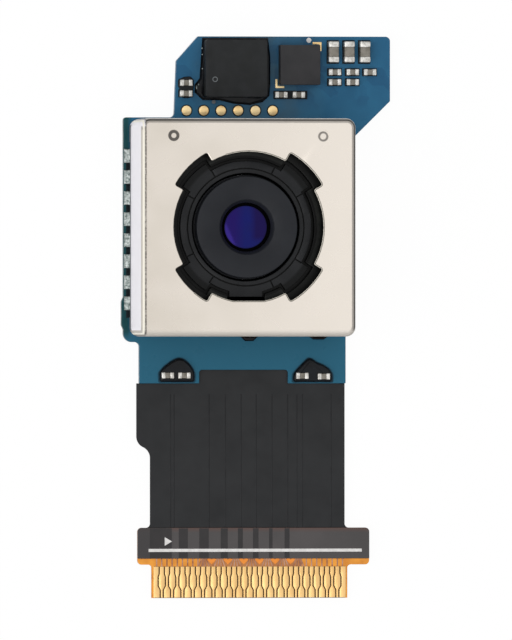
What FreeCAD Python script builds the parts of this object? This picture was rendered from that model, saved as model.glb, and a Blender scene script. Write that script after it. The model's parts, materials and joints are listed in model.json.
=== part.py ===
import FreeCAD, Part
import math
import os
import Sketcher

# Phone camera module with a ball-guided focus and image-shift actuator.
# Millimetres. The module lies on its steel back plate, lens upward: +Z is the optical
# axis, +X runs along the short side, +Y points away from the contact tail, and the
# origin is where the optical axis meets the bottom of the back plate.

UP = FreeCAD.Vector(0, 0, 1)
NEAR = 1e-4
LEAST_CUT = 1e-7
TURN = 360
QUARTER = 90
DIAGONAL = 45

# How many there are of the pieces that repeat, and sides of the many-sided outlines
JOINT_COUNT = 8
WIRE_COUNT = 8
PAD_COUNT = 6
NEAR_FINGER_COUNT = 18
FAR_FINGER_COUNT = 17
SMALL_SIDES = 12
LARGE_SIDES = 16

# Driving dimensions. Everything else is worked out from them, from the lens outward.
SIZES = [
    # Stack of the plate and the rigid board
    ("plate_thick", 0.15),
    ("plate_inset", 0.15),
    ("board_thick", 0.45),
    # Lens stack: each rim is a step wider than the one in front of it
    ("aperture_inner", 1.00),
    ("aperture_land", 0.08),
    ("aperture_step", 0.17),
    ("aperture_flare", 0.16),
    ("aperture_bevel", 0.30),
    ("aperture_deep", 0.65),
    ("first_rim_step", 0.44),
    ("lens_fit", 0.01),
    ("lens_crown", 0.94),
    ("lens_bevel", 0.80),
    ("baffle_thick", 0.02),
    ("lock_thick", 0.08),
    ("lock_wide", 0.29),
    ("barrel_gap", 0.35),
    # Lens barrel
    ("barrel_wall", 0.25),
    ("barrel_shoulder", 0.07),
    ("nose_long", 0.80),
    ("barrel_proud", 0.50),
    ("barrel_chamfer", 0.03),
    ("barrel_fit", 0.03),
    # Lens holder: ring, sectors, corner arms and south tab, each beyond the last
    ("ring_wide", 0.28),
    ("sector_wide", 0.35),
    ("ring_high", 0.25),
    ("seam_wide", 0.06),
    ("seam_deep", 0.14),
    ("arm_reach", 0.42),
    ("arm_angle", 12.5),
    ("arm_drop", 0.20),
    ("tab_half", 0.97),
    ("tab_reach", 0.37),
    ("holder_rim", 0.34),
    ("holder_east_extra", 0.26),
    ("holder_north_extra", 0.28),
    ("holder_corner", 0.40),
    # Shift frame
    ("frame_thick", 0.35),
    ("frame_bore_play", 0.35),
    ("frame_corner", 0.30),
    # Balls and their grooves
    ("ball_radius", 0.25),
    ("ball_play", 0.01),
    ("ball_stand", 0.15),
    ("ball_end", 0.06),
    ("ball_edge", 0.35),
    ("ball_inset", 0.90),
    ("focus_ball_side", 3.20),
    ("focus_ball_up", 0.46),
    ("focus_ball_pitch", 1.30),
    ("shift_stroke", 0.08),
    ("focus_stroke", 0.30),
    # Shift magnets, their backs and the yokes below them
    ("magnet_back_thick", 0.15),
    ("shift_magnet_long", 4.10),
    ("shift_magnet_high", 1.20),
    ("shift_magnet_thick", 0.50),
    ("shift_magnet_up", 0.15),
    ("shift_yoke_long", 3.60),
    ("shift_yoke_wide", 0.50),
    ("shift_yoke_thick", 0.12),
    # Focus carrier
    ("carrier_lift", 0.01),
    ("carrier_floor", 0.30),
    ("carrier_wall", 0.45),
    ("carrier_drop", 0.10),
    ("carrier_bore_play", 0.25),
    ("carrier_west_gap", 0.28),
    ("carrier_south_gap", 0.63),
    ("magnet_play", 0.06),
    ("post_side", 0.50),
    ("focus_magnet_long", 4.10),
    ("focus_magnet_high", 1.60),
    ("focus_magnet_thick", 0.40),
    ("focus_magnet_gap", 0.10),
    # Stopper frame
    ("stopper_thick", 0.20),
    ("stopper_play", 0.14),
    ("stopper_lobe_play", 0.18),
    ("stopper_lobe_angle", 14.6),
    ("tab_play", 0.15),
    # Actuator housing
    ("focus_gap", 0.27),
    ("cage_gap", 0.13),
    ("housing_wall", 0.35),
    ("housing_play", 0.02),
    ("housing_headroom", 0.25),
    ("flange_thick", 0.30),
    ("stop_side", 1.10),
    ("stop_up", 0.15),
    ("bracket_play", 0.10),
    # Coil board, coils, the chips inside them and the steel yoke
    ("coil_board_thick", 0.08),
    ("coil_board_south", 4.20),
    ("coil_board_corner", 0.45),
    ("coil_thick", 0.30),
    ("coil_reach", 1.20),
    ("coil_outer", 0.85),
    ("coil_inner", 0.38),
    ("coil_up", 1.34),
    ("coil_window_play", 0.10),
    ("coil_chip_long", 1.10),
    ("coil_chip_high", 0.56),
    ("coil_chip_thick", 0.24),
    ("yoke_thick", 0.12),
    ("focus_yoke_long", 4.60),
    ("focus_yoke_high", 2.20),
    # Shield can
    ("can_wall", 0.15),
    ("can_over_barrel", 0.65),
    ("can_corner", 0.46),
    ("can_bend", 0.18),
    ("opening_play", 0.30),
    ("lobe_play", 0.31),
    ("lobe_angle", 15.3),
    ("dimple_side", 1.59),
    ("dimple_down", 0.81),
    ("dimple_outer", 0.27),
    ("dimple_inner", 0.15),
    ("dimple_deep", 0.05),
    ("relief_high", 0.26),
    # Solder joints along the can's west side
    ("joint_first", 3.43),
    ("joint_pitch", 1.01),
    ("joint_long", 0.66),
    ("joint_reach", 0.26),
    ("joint_high", 0.22),
    ("joint_shoulder", 0.07),
    ("joint_toe", 0.10),
    # Image sensor, its window in the board and its wires
    ("die_long", 6.10),
    ("die_wide", 5.10),
    ("die_thick", 0.25),
    ("die_gap", 0.20),
    ("wire_thick", 0.03),
    ("wire_pitch", 0.62),
    ("wire_rise", 0.09),
    # Filter bracket and infrared filter
    ("bracket_side", 0.85),
    ("bracket_end", 1.15),
    ("bracket_high", 0.50),
    ("bracket_cavity", 0.20),
    ("bracket_wall", 0.50),
    ("filter_thick", 0.20),
    ("filter_ledge", 0.35),
    ("filter_gap", 0.05),
    # Rigid board: how far its edges stand from the can's, and the steps in them
    ("north_reach", 3.97),
    ("east_reach", 2.24),
    ("east_cut_up", 0.87),
    ("side_cut_down", 1.26),
    ("side_margin", 0.09),
    ("strip_margin", 0.28),
    ("strip_over", 0.08),
    ("strip_below", 0.27),
    ("bulge_out", 0.09),
    ("bulge_down", 1.67),
    ("bulge_up", 0.55),
    ("bulge_ramp", 0.22),
    ("strip_corner", 0.42),
    ("neck_west", 3.02),
    ("neck_cut_across", 0.99),
    ("neck_cut_down", 1.32),
    ("leg_inset", 0.49),
    ("leg_reach", 2.25),
    ("recess_west", 1.82),
    ("recess_east", 2.47),
    ("recess_deep", 0.65),
    ("board_corner", 0.22),
    ("board_nook", 0.14),
    # Flexible tail, southward from the board
    ("flex_thick", 0.12),
    ("flex_up", 0.17),
    ("flex_margin", 0.13),
    ("tongue_deep", 0.53),
    ("tongue_inset", 0.31),
    ("turn_down", 2.55),
    ("turn_long", 1.03),
    ("head_down", 6.93),
    ("head_long", 1.77),
    ("head_corner", 0.20),
    ("ear_corner", 0.16),
    ("cover_short", 0.29),
    ("cover_thick", 0.06),
    ("tail_west", 4.10),
    ("tail_east", 5.37),
    ("tail_long", 1.60),
    ("ear_west", 0.68),
    ("ear_east", 1.06),
    ("flex_step_west", 0.08),
    ("flex_step_east", 0.13),
    ("stiffener_thick", 0.12),
    # Contact fingers, southward from the head
    ("finger_pitch", 0.25),
    ("finger_gap", 0.06),
    ("finger_wide", 0.29),
    ("finger_thick", 0.03),
    ("finger_border", 0.08),
    ("finger_start", 0.09),
    ("finger_neck", 0.34),
    ("finger_slope", 0.16),
    ("finger_flat", 0.43),
    ("finger_taper", 0.19),
    ("finger_foot", 0.02),
    # Test pads and corner marks
    ("pad_radius", 0.24),
    ("pad_thick", 0.03),
    ("pad_pitch", 0.834),
    ("pad_west", 2.44),
    ("pad_up", 0.41),
    ("mark_long", 0.43),
    ("mark_wide", 0.11),
    ("mark_thick", 0.02),
    ("mark_gap", 0.15),
    # Chips on the board, measured down from its north edge
    ("controller_long", 2.98),
    ("controller_wide", 2.75),
    ("controller_high", 0.90),
    ("controller_west", 0.13),
    ("controller_down", 1.54),
    ("underfill_high", 0.14),
    ("underfill_slope", 0.10),
    ("gyro_long", 1.93),
    ("gyro_wide", 1.91),
    ("gyro_high", 0.75),
    ("gyro_east", 2.98),
    ("gyro_down", 1.37),
    # Chip capacitors
    ("large_cap_long", 1.00),
    ("large_cap_wide", 0.50),
    ("large_cap_end", 0.28),
    ("small_cap_long", 0.60),
    ("small_cap_wide", 0.30),
    ("small_cap_end", 0.19),
    ("cap_plating", 0.02),
    # Resin coats and beads
    ("coat_high", 0.20),
    ("coat_slope", 0.09),
    ("bead_high", 0.16),
    ("bead_slope", 0.06),
]

# Light path of each lens: how much wider its rim is than the one in front, rim thickness,
# width of the flat rim, front rise and back hollow
LENSES = [
    ("lens_1", 0.00, 0.46, 0.44, 0.25, 0.08),
    ("lens_2", 0.15, 0.29, 0.54, 0.05, 0.14),
    ("lens_3", 0.18, 0.37, 0.57, 0.03, -0.07),
    ("lens_4", 0.17, 0.32, 0.54, -0.09, 0.06),
    ("lens_5", 0.15, 0.30, 0.54, 0.04, 0.10),
    ("lens_6", 0.15, 0.33, 0.44, 0.05, 0.12),
]

LENS_NAMES = [row[0] for row in LENSES]

# Directions of the radial seams in the lens holder's ring, in degrees round the optical axis
RADIAL_SEAMS = (30.5, 64, 121.5, 151.5, 206.5, 236.5, 295, 327.5)

# Chip capacitors: east of the optical axis, and down from the board's north edge
LARGE_CAPS = [(4.64, 0.74), (5.40, 0.74), (6.16, 0.74)]
NORTH_CAPS = [
    (4.72, 1.71), (5.58, 1.71), (6.42, 1.71),
    (4.72, 2.19), (5.58, 2.19),
    (2.12, 2.80), (2.97, 2.80),
    (-2.47, 2.23), (-2.48, 2.74),
]

# The capacitors at the other end: east of the optical axis, and up from the board's south edge
SOUTH_CAPS = [(-3.37, 0.38), (-2.57, 0.38), (3.14, 0.36), (4.18, 0.33)]

# Outlines of the two resin coats, placed as the capacitors that they cover
COATS = [
    [(-3.76, 0.04), (-2.10, 0.04), (-2.12, 0.62), (-2.72, 1.25), (-3.55, 0.74)],
    [(2.74, 0.08), (4.60, 0.06), (4.62, 0.50), (3.95, 0.86), (3.40, 1.18), (2.80, 0.62)],
]

# Adhesive beads below the can: east of the optical axis, half widths at the can and at the
# far side, and reach southward
BEADS = [(0.58, 0.42, 0.20, 0.22), (3.94, 0.46, 0.24, 0.15)]

# Outline of the resin round the larger chip, in half sides of the chip from its centre
UNDERFILL = [
    (1.09, 1.07), (-1.11, 1.07), (-1.13, -0.34), (-1.29, -0.57), (-1.29, -0.84), (-1.02, -1.11),
    (-0.48, -1.11), (-0.04, -1.19), (0.50, -1.24), (0.93, -1.13), (1.14, -0.95), (1.17, -0.57),
    (1.17, 0.41), (1.13, 0.79),
]


class Size:
    """A number from the sheet, or worked out from it, with the expression that makes it."""

    def __init__(self, text, value):
        self.text = text
        self.value = value

    @staticmethod
    def of(item):
        if isinstance(item, Size):
            return item
        return Size(repr(float(item)), float(item))

    def joined(self, sign, other, value):
        return Size("(" + self.text + " " + sign + " " + other.text + ")", value)

    def __add__(self, other):
        other = Size.of(other)
        return self.joined("+", other, self.value + other.value)

    def __radd__(self, other):
        return Size.of(other) + self

    def __sub__(self, other):
        other = Size.of(other)
        return self.joined("-", other, self.value - other.value)

    def __rsub__(self, other):
        return Size.of(other) - self

    def __mul__(self, other):
        other = Size.of(other)
        return self.joined("*", other, self.value * other.value)

    def __rmul__(self, other):
        return Size.of(other) * self

    def __truediv__(self, other):
        other = Size.of(other)
        return self.joined("/", other, self.value / other.value)

    def __neg__(self):
        return Size("(-1 * " + self.text + ")", -self.value)

    def root(self):
        return Size("sqrt(" + self.text + ")", math.sqrt(self.value))


def cosine(angle):
    angle = Size.of(angle)
    return Size("cos(" + angle.text + ")", math.cos(math.radians(angle.value)))


def sine(angle):
    angle = Size.of(angle)
    return Size("sin(" + angle.text + ")", math.sin(math.radians(angle.value)))


def polar(radius, angle):
    return (radius * cosine(angle), radius * sine(angle))


class Sheet:
    """The sheet of driving dimensions; each one is read as an attribute."""

    def __init__(self, rows):
        self.table = doc.addObject("Spreadsheet::Sheet", "Sizes")
        for line, (name, value) in enumerate(rows, 1):
            self.table.set("A%d" % line, name)
            self.table.set("B%d" % line, repr(value))
            self.table.setAlias("B%d" % line, name)
            setattr(self, name, Size("Sizes." + name, value))

    def lens(self, name, part):
        return getattr(self, name + "_" + part)


def lens_rows():
    """Sheet rows for the lens stack, so that each lens is set like any other piece."""
    rows = []
    for name, step, thick, flat, rise, hollow in LENSES:
        rows.append((name + "_step", step))
        rows.append((name + "_thick", thick))
        rows.append((name + "_flat", flat))
        rows.append((name + "_rise", rise))
        rows.append((name + "_hollow", hollow))
    return rows


def bind(item, name, size):
    """Set a property to a size and keep it tied to the sheet."""
    size = Size.of(size)
    if "Sizes." in size.text:
        item.setExpression(name, size.text)
    else:
        setattr(item, name, size.value)


def place(item, east, north, height):
    spots = [Size.of(spot) for spot in (east, north, height)]
    item.Placement.Base = FreeCAD.Vector(*[spot.value for spot in spots])
    for axis, spot in zip("xyz", spots):
        if "Sizes." in spot.text:
            item.setExpression("Placement.Base." + axis, spot.text)


# Closed outlines for sketches

class Loop:
    """Corner points joined by straight sides, or by arcs where a side has a radius.

    An arc's radius is positive where the side turns left along the outline and
    negative where it turns right.
    """

    def __init__(self, points, arcs=None):
        self.points = [(Size.of(x), Size.of(y)) for x, y in points]
        self.arcs = arcs or {}

    def side(self, start, end, radius):
        a = FreeCAD.Vector(start[0].value, start[1].value, 0)
        b = FreeCAD.Vector(end[0].value, end[1].value, 0)
        if radius is None:
            return Part.LineSegment(a, b)
        size = abs(radius.value)
        half = (b - a).Length / 2
        left = UP.cross(b - a).normalize()
        rise = math.sqrt(max(size * size - half * half, 0))
        turn = 1 if radius.value > 0 else -1
        centre = (a + b) / 2 + left * rise * turn
        if turn < 0:
            a, b = b, a
        circle = Part.Circle(centre, UP, size)
        return Part.ArcOfCircle(circle, circle.parameter(a), circle.parameter(b))

    def draw(self, sketch):
        count = len(self.points)
        radii = [self.arcs.get(index) for index in range(count)]
        first = sketch.GeometryCount
        for index, radius in enumerate(radii):
            end = self.points[(index + 1) % count]
            sketch.addGeometry(self.side(self.points[index], end, radius))
        flipped = [radius is not None and radius.value < 0 for radius in radii]
        starts = [2 if flip else 1 for flip in flipped]
        ends = [1 if flip else 2 for flip in flipped]
        for index in range(count):
            before = (index - 1) % count
            sketch.addConstraint(Sketcher.Constraint(
                "Coincident", first + before, ends[before], first + index, starts[index]))
        for index, (x, y) in enumerate(self.points):
            fix(sketch, "DistanceX", x, -1, 1, first + index, starts[index])
            fix(sketch, "DistanceY", y, -1, 1, first + index, starts[index])
            if radii[index] is not None:
                size = radii[index] if radii[index].value > 0 else -radii[index]
                fix(sketch, "Radius", size, first + index)


class Ring:
    """A full circle."""

    def __init__(self, x, y, radius):
        self.x = Size.of(x)
        self.y = Size.of(y)
        self.radius = Size.of(radius)

    def draw(self, sketch):
        middle = FreeCAD.Vector(self.x.value, self.y.value, 0)
        index = sketch.addGeometry(Part.Circle(middle, UP, self.radius.value))
        fix(sketch, "DistanceX", self.x, -1, 1, index, 3)
        fix(sketch, "DistanceY", self.y, -1, 1, index, 3)
        fix(sketch, "Radius", self.radius, index)


def fix(sketch, kind, size, *where):
    """Add one dimension to a sketch and tie it to the sheet."""
    index = sketch.addConstraint(Sketcher.Constraint(kind, *where, size.value))
    if "Sizes." in size.text:
        sketch.setExpression("Constraints[%d]" % index, size.text)


def rectangle(west, east, south, north):
    return Loop([(west, south), (east, south), (east, north), (west, north)])


def middle_rectangle(long, wide):
    return rectangle(-long / 2, long / 2, -wide / 2, wide / 2)


def polygon(radius, sides, x=0, y=0):
    """Many-sided outline with its corners on a circle."""
    corners = [polar(radius, TURN * index / sides) for index in range(sides)]
    return Loop([(across + x, along + y) for across, along in corners])


def racetrack(height, reach, radius):
    """Slot with bevelled ends, centred on the plane's height axis."""
    bevel = radius * math.tan(math.pi / 8)
    quarter = [(reach + bevel, -radius), (reach + radius, -bevel)]
    east = quarter + [(x, -y) for x, y in quarter[::-1]]
    west = [(-x, -y) for x, y in east]
    return Loop([(x, height + y) for x, y in east + west])


def lobed(inner, outer, half_angle, notch=None):
    """A circle with four lobes on its diagonals, and a straight notch on the south side."""
    points = []
    arcs = {}
    for quarter in range(4):
        middle = DIAGONAL + QUARTER * quarter
        if notch and quarter == 3:
            half, south = notch
            shoulder = (inner * inner - half * half).root()
            arcs[len(points) - 1] = inner
            points.append((-half, -shoulder))
            points.append((-half, -south))
            points.append((half, -south))
            arcs[len(points)] = inner
            points.append((half, -shoulder))
        points.append(polar(inner, middle - half_angle))
        arcs[len(points)] = outer
        points.append(polar(outer, middle - half_angle))
        points.append(polar(outer, middle + half_angle))
        arcs[len(points)] = inner
        points.append(polar(inner, middle + half_angle))
    return Loop(points, arcs)


# Pieces built feature by feature

class Piece:
    """One solid piece, made from outlines that are raised, cut, turned and rounded."""

    def __init__(self, label):
        self.body = doc.addObject("PartDesign::Body", label)
        self.body.Label = label
        self.body.AllowCompound = True

    def base(self, role):
        for item in self.body.Origin.OriginFeatures:
            if item.Role == role:
                return item
        raise ValueError("no " + role)

    def sketch(self, plane, offset, outlines):
        sketch = self.body.newObject("Sketcher::SketchObject", "outline")
        sketch.AttachmentSupport = [(self.base(plane), "")]
        sketch.MapMode = "FlatFace"
        offset = Size.of(offset)
        sketch.AttachmentOffset.Base.z = offset.value
        if "Sizes." in offset.text:
            sketch.setExpression("AttachmentOffset.Base.z", offset.text)
        for outline in outlines:
            outline.draw(sketch)
        return sketch

    def feature(self, kind, sketch, length):
        item = self.body.newObject("PartDesign::" + kind, kind)
        item.Profile = sketch
        bind(item, "Length", length)
        self.body.Tip = item
        return item

    def pad(self, outlines, low, high, plane="XY_Plane"):
        """Raise outlines from low to high along the plane's own axis."""
        start = -Size.of(high) if plane == "XZ_Plane" else low
        sketch = self.sketch(plane, start, outlines)
        return self.feature("Pad", sketch, Size.of(high) - low)

    def pocket(self, outlines, low, high, plane="XY_Plane"):
        """Cut outlines out between low and high along the plane's own axis."""
        start = -Size.of(low) if plane == "XZ_Plane" else high
        sketch = self.sketch(plane, start, outlines)
        return self.feature("Pocket", sketch, Size.of(high) - low)

    def turn(self, outline):
        """Turn a radius-and-height outline round the vertical axis."""
        sketch = self.sketch("XZ_Plane", 0, [outline])
        item = self.body.newObject("PartDesign::Revolution", "Revolution")
        item.Profile = sketch
        item.ReferenceAxis = (sketch, ["V_Axis"])
        item.Angle = 360
        self.body.Tip = item
        return item

    def row(self, feature, axis, step, count):
        """Repeat a feature along one of the piece's own axes."""
        item = self.body.newObject("PartDesign::LinearPattern", "row")
        item.Originals = [feature]
        item.Direction = (self.base(axis), [""])
        bind(item, "Length", step * (count - 1))
        item.Occurrences = count
        self.body.Tip = item
        return item

    def round(self, test, radius, kind="Fillet"):
        """Round or bevel the edges that pass a test."""
        doc.recompute()
        tip = self.body.Tip
        names = ["Edge%d" % number for number, edge in enumerate(tip.Shape.Edges, 1) if test(edge)]
        if not names:
            raise ValueError("no edge to round on " + self.body.Label)
        item = self.body.newObject("PartDesign::" + kind, kind)
        item.Base = (tip, names)
        bind(item, "Radius" if kind == "Fillet" else "Size", radius)
        self.body.Tip = item
        return item


def upright_at(*corners):
    """Test for vertical edges that stand on the given corners."""
    spots = [(Size.of(x).value, Size.of(y).value) for x, y in corners]

    def test(edge):
        low, high = edge.Vertexes[0].Point, edge.Vertexes[-1].Point
        if abs(low.x - high.x) > NEAR or abs(low.y - high.y) > NEAR or edge.Length < NEAR:
            return False
        return any(abs(low.x - x) < NEAR and abs(low.y - y) < NEAR for x, y in spots)

    return test


def level_at(height):
    """Test for edges that lie at one height."""
    height = Size.of(height).value

    def test(edge):
        box = edge.BoundBox
        return abs(box.ZMin - height) < NEAR and abs(box.ZMax - height) < NEAR

    return test


# Pieces built from plain solids

def block(label, west, east, south, north, low, high):
    item = doc.addObject("Part::Box", label)
    bind(item, "Length", Size.of(east) - west)
    bind(item, "Width", Size.of(north) - south)
    bind(item, "Height", Size.of(high) - low)
    place(item, west, south, low)
    return item


def group(label, items):
    item = doc.addObject("Part::Compound", label)
    item.Links = items
    return item


nodes = {}


def keep(label, item):
    """Name a finished piece."""
    if isinstance(item, Piece):
        item = item.body
    item.Label = label
    nodes[label] = item
    return item


doc = FreeCAD.newDocument("camera_module")
size = Sheet(SIZES + lens_rows())

# Lens stack: rim and clear radius of each lens
rims, clears = {}, {}
widest = size.aperture_inner + size.first_rim_step
for name in LENS_NAMES:
    widest = widest + size.lens(name, "step")
    rims[name] = widest
    clears[name] = widest - size.lens(name, "flat")

# Lens barrel and holder, seen from the front
barrel_outer = widest + size.lens_fit + size.barrel_wall
barrel_nose = barrel_outer - size.barrel_shoulder
aperture_wall = size.aperture_inner + size.aperture_step
holder_bore = barrel_outer + size.barrel_fit
ring_seam = holder_bore + size.ring_wide
ring_outer = ring_seam + size.sector_wide
arm_outer = ring_outer + size.arm_reach
tab_south = ring_outer + size.tab_reach
holder_half = ring_outer + size.holder_rim
holder_east = holder_half + size.holder_east_extra
holder_north = holder_half + size.holder_north_extra
magnet_east = holder_east + size.magnet_back_thick + size.shift_magnet_thick
magnet_north = holder_north + size.magnet_back_thick + size.shift_magnet_thick

# Focus carrier and shift frame, then the housing round them
carrier_west = holder_half + size.carrier_west_gap + size.carrier_wall
carrier_south = holder_half + size.carrier_south_gap + size.carrier_wall
carrier_east = magnet_east + size.magnet_play
carrier_north = magnet_north + size.magnet_play
carrier_bore = barrel_outer + size.carrier_bore_play
frame_bore = barrel_outer + size.frame_bore_play
ball_line = holder_half - size.ball_edge
ball_along = holder_half - size.ball_inset
room_west = carrier_west + size.focus_gap
room_east = carrier_east + size.cage_gap
room_north = carrier_north + size.cage_gap
room_south = carrier_south + size.cage_gap
coil_west = room_west + size.housing_wall
coil_east = room_east + size.housing_wall
coil_north = room_north + size.housing_wall
housing_south = room_south + size.housing_wall

# Shield can and the openings below it
can_west_in = coil_west + size.coil_board_thick + size.yoke_thick
can_east_in = coil_east + size.coil_board_thick
can_north_in = coil_north + size.coil_board_thick
can_south_in = housing_south + size.housing_play
can_west = can_west_in + size.can_wall
can_east = can_east_in + size.can_wall
can_north = can_north_in + size.can_wall
can_south = can_south_in + size.can_wall
stopper_opening = ring_outer + size.stopper_play
stopper_lobe = arm_outer + size.stopper_lobe_play
opening_radius = stopper_opening + size.opening_play
lobe_radius = stopper_lobe + size.lobe_play

# Rigid board and flexible tail
board_north = can_north + size.north_reach
board_east = can_east + size.east_reach
board_side = can_east + size.side_margin
neck_north = board_north - size.neck_cut_down
gyro_north = board_north - size.gyro_down
strip_west = can_west + size.strip_margin
strip_north = can_north + size.strip_over
leg_west = can_west - size.leg_inset
leg_south = can_south + size.leg_reach
recess_south = leg_south - size.recess_deep
tongue_north = recess_south - size.tongue_deep
tongue_west = leg_west - size.tongue_inset
tongue_east = board_side - size.tongue_inset
flex_west = leg_west + size.flex_margin
flex_narrow = size.tail_west + size.flex_step_west
flex_east = size.tail_east - size.flex_step_east
turn_start = leg_south + size.turn_down
turn_end = turn_start + size.turn_long
head_north = leg_south + size.head_down
head_south = head_north + size.head_long
head_west = size.tail_west + size.ear_west
head_east = size.tail_east + size.ear_east
cover_south = head_south - size.cover_short
tail_south = head_south + size.tail_long

# Filter bracket under the lens
bracket_long = size.die_long + size.bracket_side * 2
bracket_wide = size.die_wide + size.bracket_end * 2

# Heights above the bottom of the back plate
board_low = size.plate_thick
board_top = board_low + size.board_thick
flex_low = board_low + size.flex_up
flex_top = flex_low + size.flex_thick
bracket_top = board_top + size.bracket_high
stop_top = bracket_top + size.stop_up
carrier_low = stop_top + size.carrier_lift
carrier_deck = carrier_low + size.carrier_floor
frame_low = carrier_deck + size.ball_stand * 2
frame_top = frame_low + size.frame_thick
holder_low = frame_top + size.ball_stand * 2
coil_centre = carrier_deck + size.coil_up
focus_ball_low = carrier_deck + size.focus_ball_up
magnet_low = frame_top + size.shift_magnet_up

# The lens stack carries the front: top and bottom of each lens's rim, from the back forward
barrel_back = bracket_top + size.barrel_gap
levels = {}
stack_top = barrel_back + size.lock_thick
for name in LENS_NAMES[::-1]:
    levels[name] = (stack_top + size.lens(name, "thick"), stack_top)
    stack_top = levels[name][0] + size.baffle_thick
aperture_seat = levels[LENS_NAMES[0]][0]
barrel_front = aperture_seat + size.aperture_deep
nose_low = barrel_front - size.nose_long
ring_top = barrel_front - size.barrel_proud
holder_top = ring_top - size.ring_high
carrier_top = ring_top - size.carrier_drop
stopper_top = carrier_top + size.stopper_thick
can_top = barrel_front + size.can_over_barrel
can_under = can_top - size.can_wall
housing_top = can_under - size.housing_headroom

# V grooves: how far a groove's bottom lies from its ball's centre, and its depth and half run
groove_reach = (size.ball_radius + size.ball_play) * math.sqrt(2)
groove_deep = groove_reach - size.ball_stand
groove_half = size.ball_radius + size.shift_stroke + size.ball_end

# West face of the focus magnet
magnet_west = -room_west + size.focus_magnet_gap


def board_outline(inset):
    """Outline of the rigid board, drawn in by an inset; it runs clockwise from the north west."""
    north = board_north - inset
    return [
        (-size.neck_west + size.neck_cut_across + inset / 2, north),
        (board_east - inset, north),
        (board_east - inset, can_north + size.east_cut_up + inset / 2),
        (board_side - inset, can_north - size.side_cut_down + inset / 2),
        (board_side - inset, -leg_south + inset),
    ]


def rigid_board():
    piece = Piece("rigid_board")
    bulge_west = -strip_west - size.bulge_out
    bulge_south = -can_south + size.bulge_up
    bulge_north = -can_south + size.bulge_down
    strip_south = -can_south - size.strip_below
    points = board_outline(Size.of(0)) + [
        (size.recess_east, -leg_south),
        (size.recess_east, -recess_south),
        (-size.recess_west, -recess_south),
        (-size.recess_west, -leg_south),
        (-leg_west, -leg_south),
        (-leg_west, strip_south),
        (-strip_west, strip_south),
        (-strip_west, bulge_south - size.bulge_ramp),
        (bulge_west, bulge_south),
        (bulge_west, bulge_north),
        (-strip_west, bulge_north + size.bulge_ramp),
        (-strip_west, strip_north),
        (-size.neck_west, strip_north),
        (-size.neck_west, neck_north),
    ]
    piece.pad([Loop(points)], board_low, board_top)
    piece.round(upright_at(points[1], points[10], points[17]), size.board_corner)
    piece.round(upright_at(points[6], points[7], points[16]), size.board_nook)
    piece.round(upright_at(points[11]), size.strip_corner)
    window = middle_rectangle(size.die_long + size.die_gap * 2, size.die_wide + size.die_gap * 2)
    piece.pocket([window], board_low, board_top)
    south = -leg_south - 1
    tongue = rectangle(-tongue_west, tongue_east, south, -tongue_north)
    piece.pocket([tongue], flex_low, flex_top)
    keep("rigid_board", piece)


def back_plate():
    """Steel plate glued under the board; it follows the board a little inside its edge."""
    inset = size.plate_inset
    points = board_outline(inset)[:4] + [
        (board_side - inset, -recess_south + inset),
        (-leg_west + inset, -recess_south + inset),
        (-leg_west + inset, strip_north - inset),
        (-size.neck_west + inset, strip_north - inset),
        (-size.neck_west + inset, neck_north),
    ]
    piece = Piece("back_plate")
    piece.pad([Loop(points)], 0, size.plate_thick)
    piece.round(upright_at(points[1], points[4], points[5], points[6]), size.board_corner)
    keep("back_plate", piece)


def sensor_stack():
    die_top = board_low + size.die_thick
    half_long, half_wide = size.die_long / 2, size.die_wide / 2
    die = block("image_sensor", -half_long, half_long, -half_wide, half_wide, board_low, die_top)
    keep("image_sensor", die)
    piece = Piece("filter_bracket")
    piece.pad([middle_rectangle(bracket_long, bracket_wide)], board_top, bracket_top)
    wall = size.bracket_wall * 2
    cavity = middle_rectangle(bracket_long - wall, bracket_wide - wall)
    piece.pocket([cavity], board_top, board_top + size.bracket_cavity)
    ledge = size.filter_ledge * 2
    light = middle_rectangle(size.die_long - ledge, size.die_wide - ledge)
    piece.pocket([light], board_top, bracket_top)
    play = size.filter_gap * 2
    seat = middle_rectangle(size.die_long + play, size.die_wide + play)
    piece.pocket([seat], bracket_top - size.filter_thick, bracket_top)
    keep("filter_bracket", piece)
    glass = block("infrared_filter", -half_long, half_long, -half_wide, half_wide,
                  bracket_top - size.filter_thick, bracket_top)
    keep("infrared_filter", glass)


def bond_wires():
    """Gold wires that arch from the sensor's short edges to the board beside its window."""
    piece = Piece("bond_wires")
    die_top = board_low + size.die_thick
    start = size.die_long / 2 - size.die_gap / 2
    end = size.die_long / 2 + size.die_gap * 1.5
    crest = board_top + size.wire_rise
    thick = size.wire_thick
    points = [
        (start, die_top), (start + thick, die_top), (start + thick, crest - thick),
        (end - thick, crest - thick), (end - thick, board_top), (end, board_top),
        (end, crest), (start, crest),
    ]
    south = -size.wire_pitch * (WIRE_COUNT - 1) / 2 - thick / 2
    wire = piece.pad([Loop(points)], south, south + thick, "XZ_Plane")
    piece.row(wire, "Y_Axis", size.wire_pitch, WIRE_COUNT)
    keep("bond_wires", piece)


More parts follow.
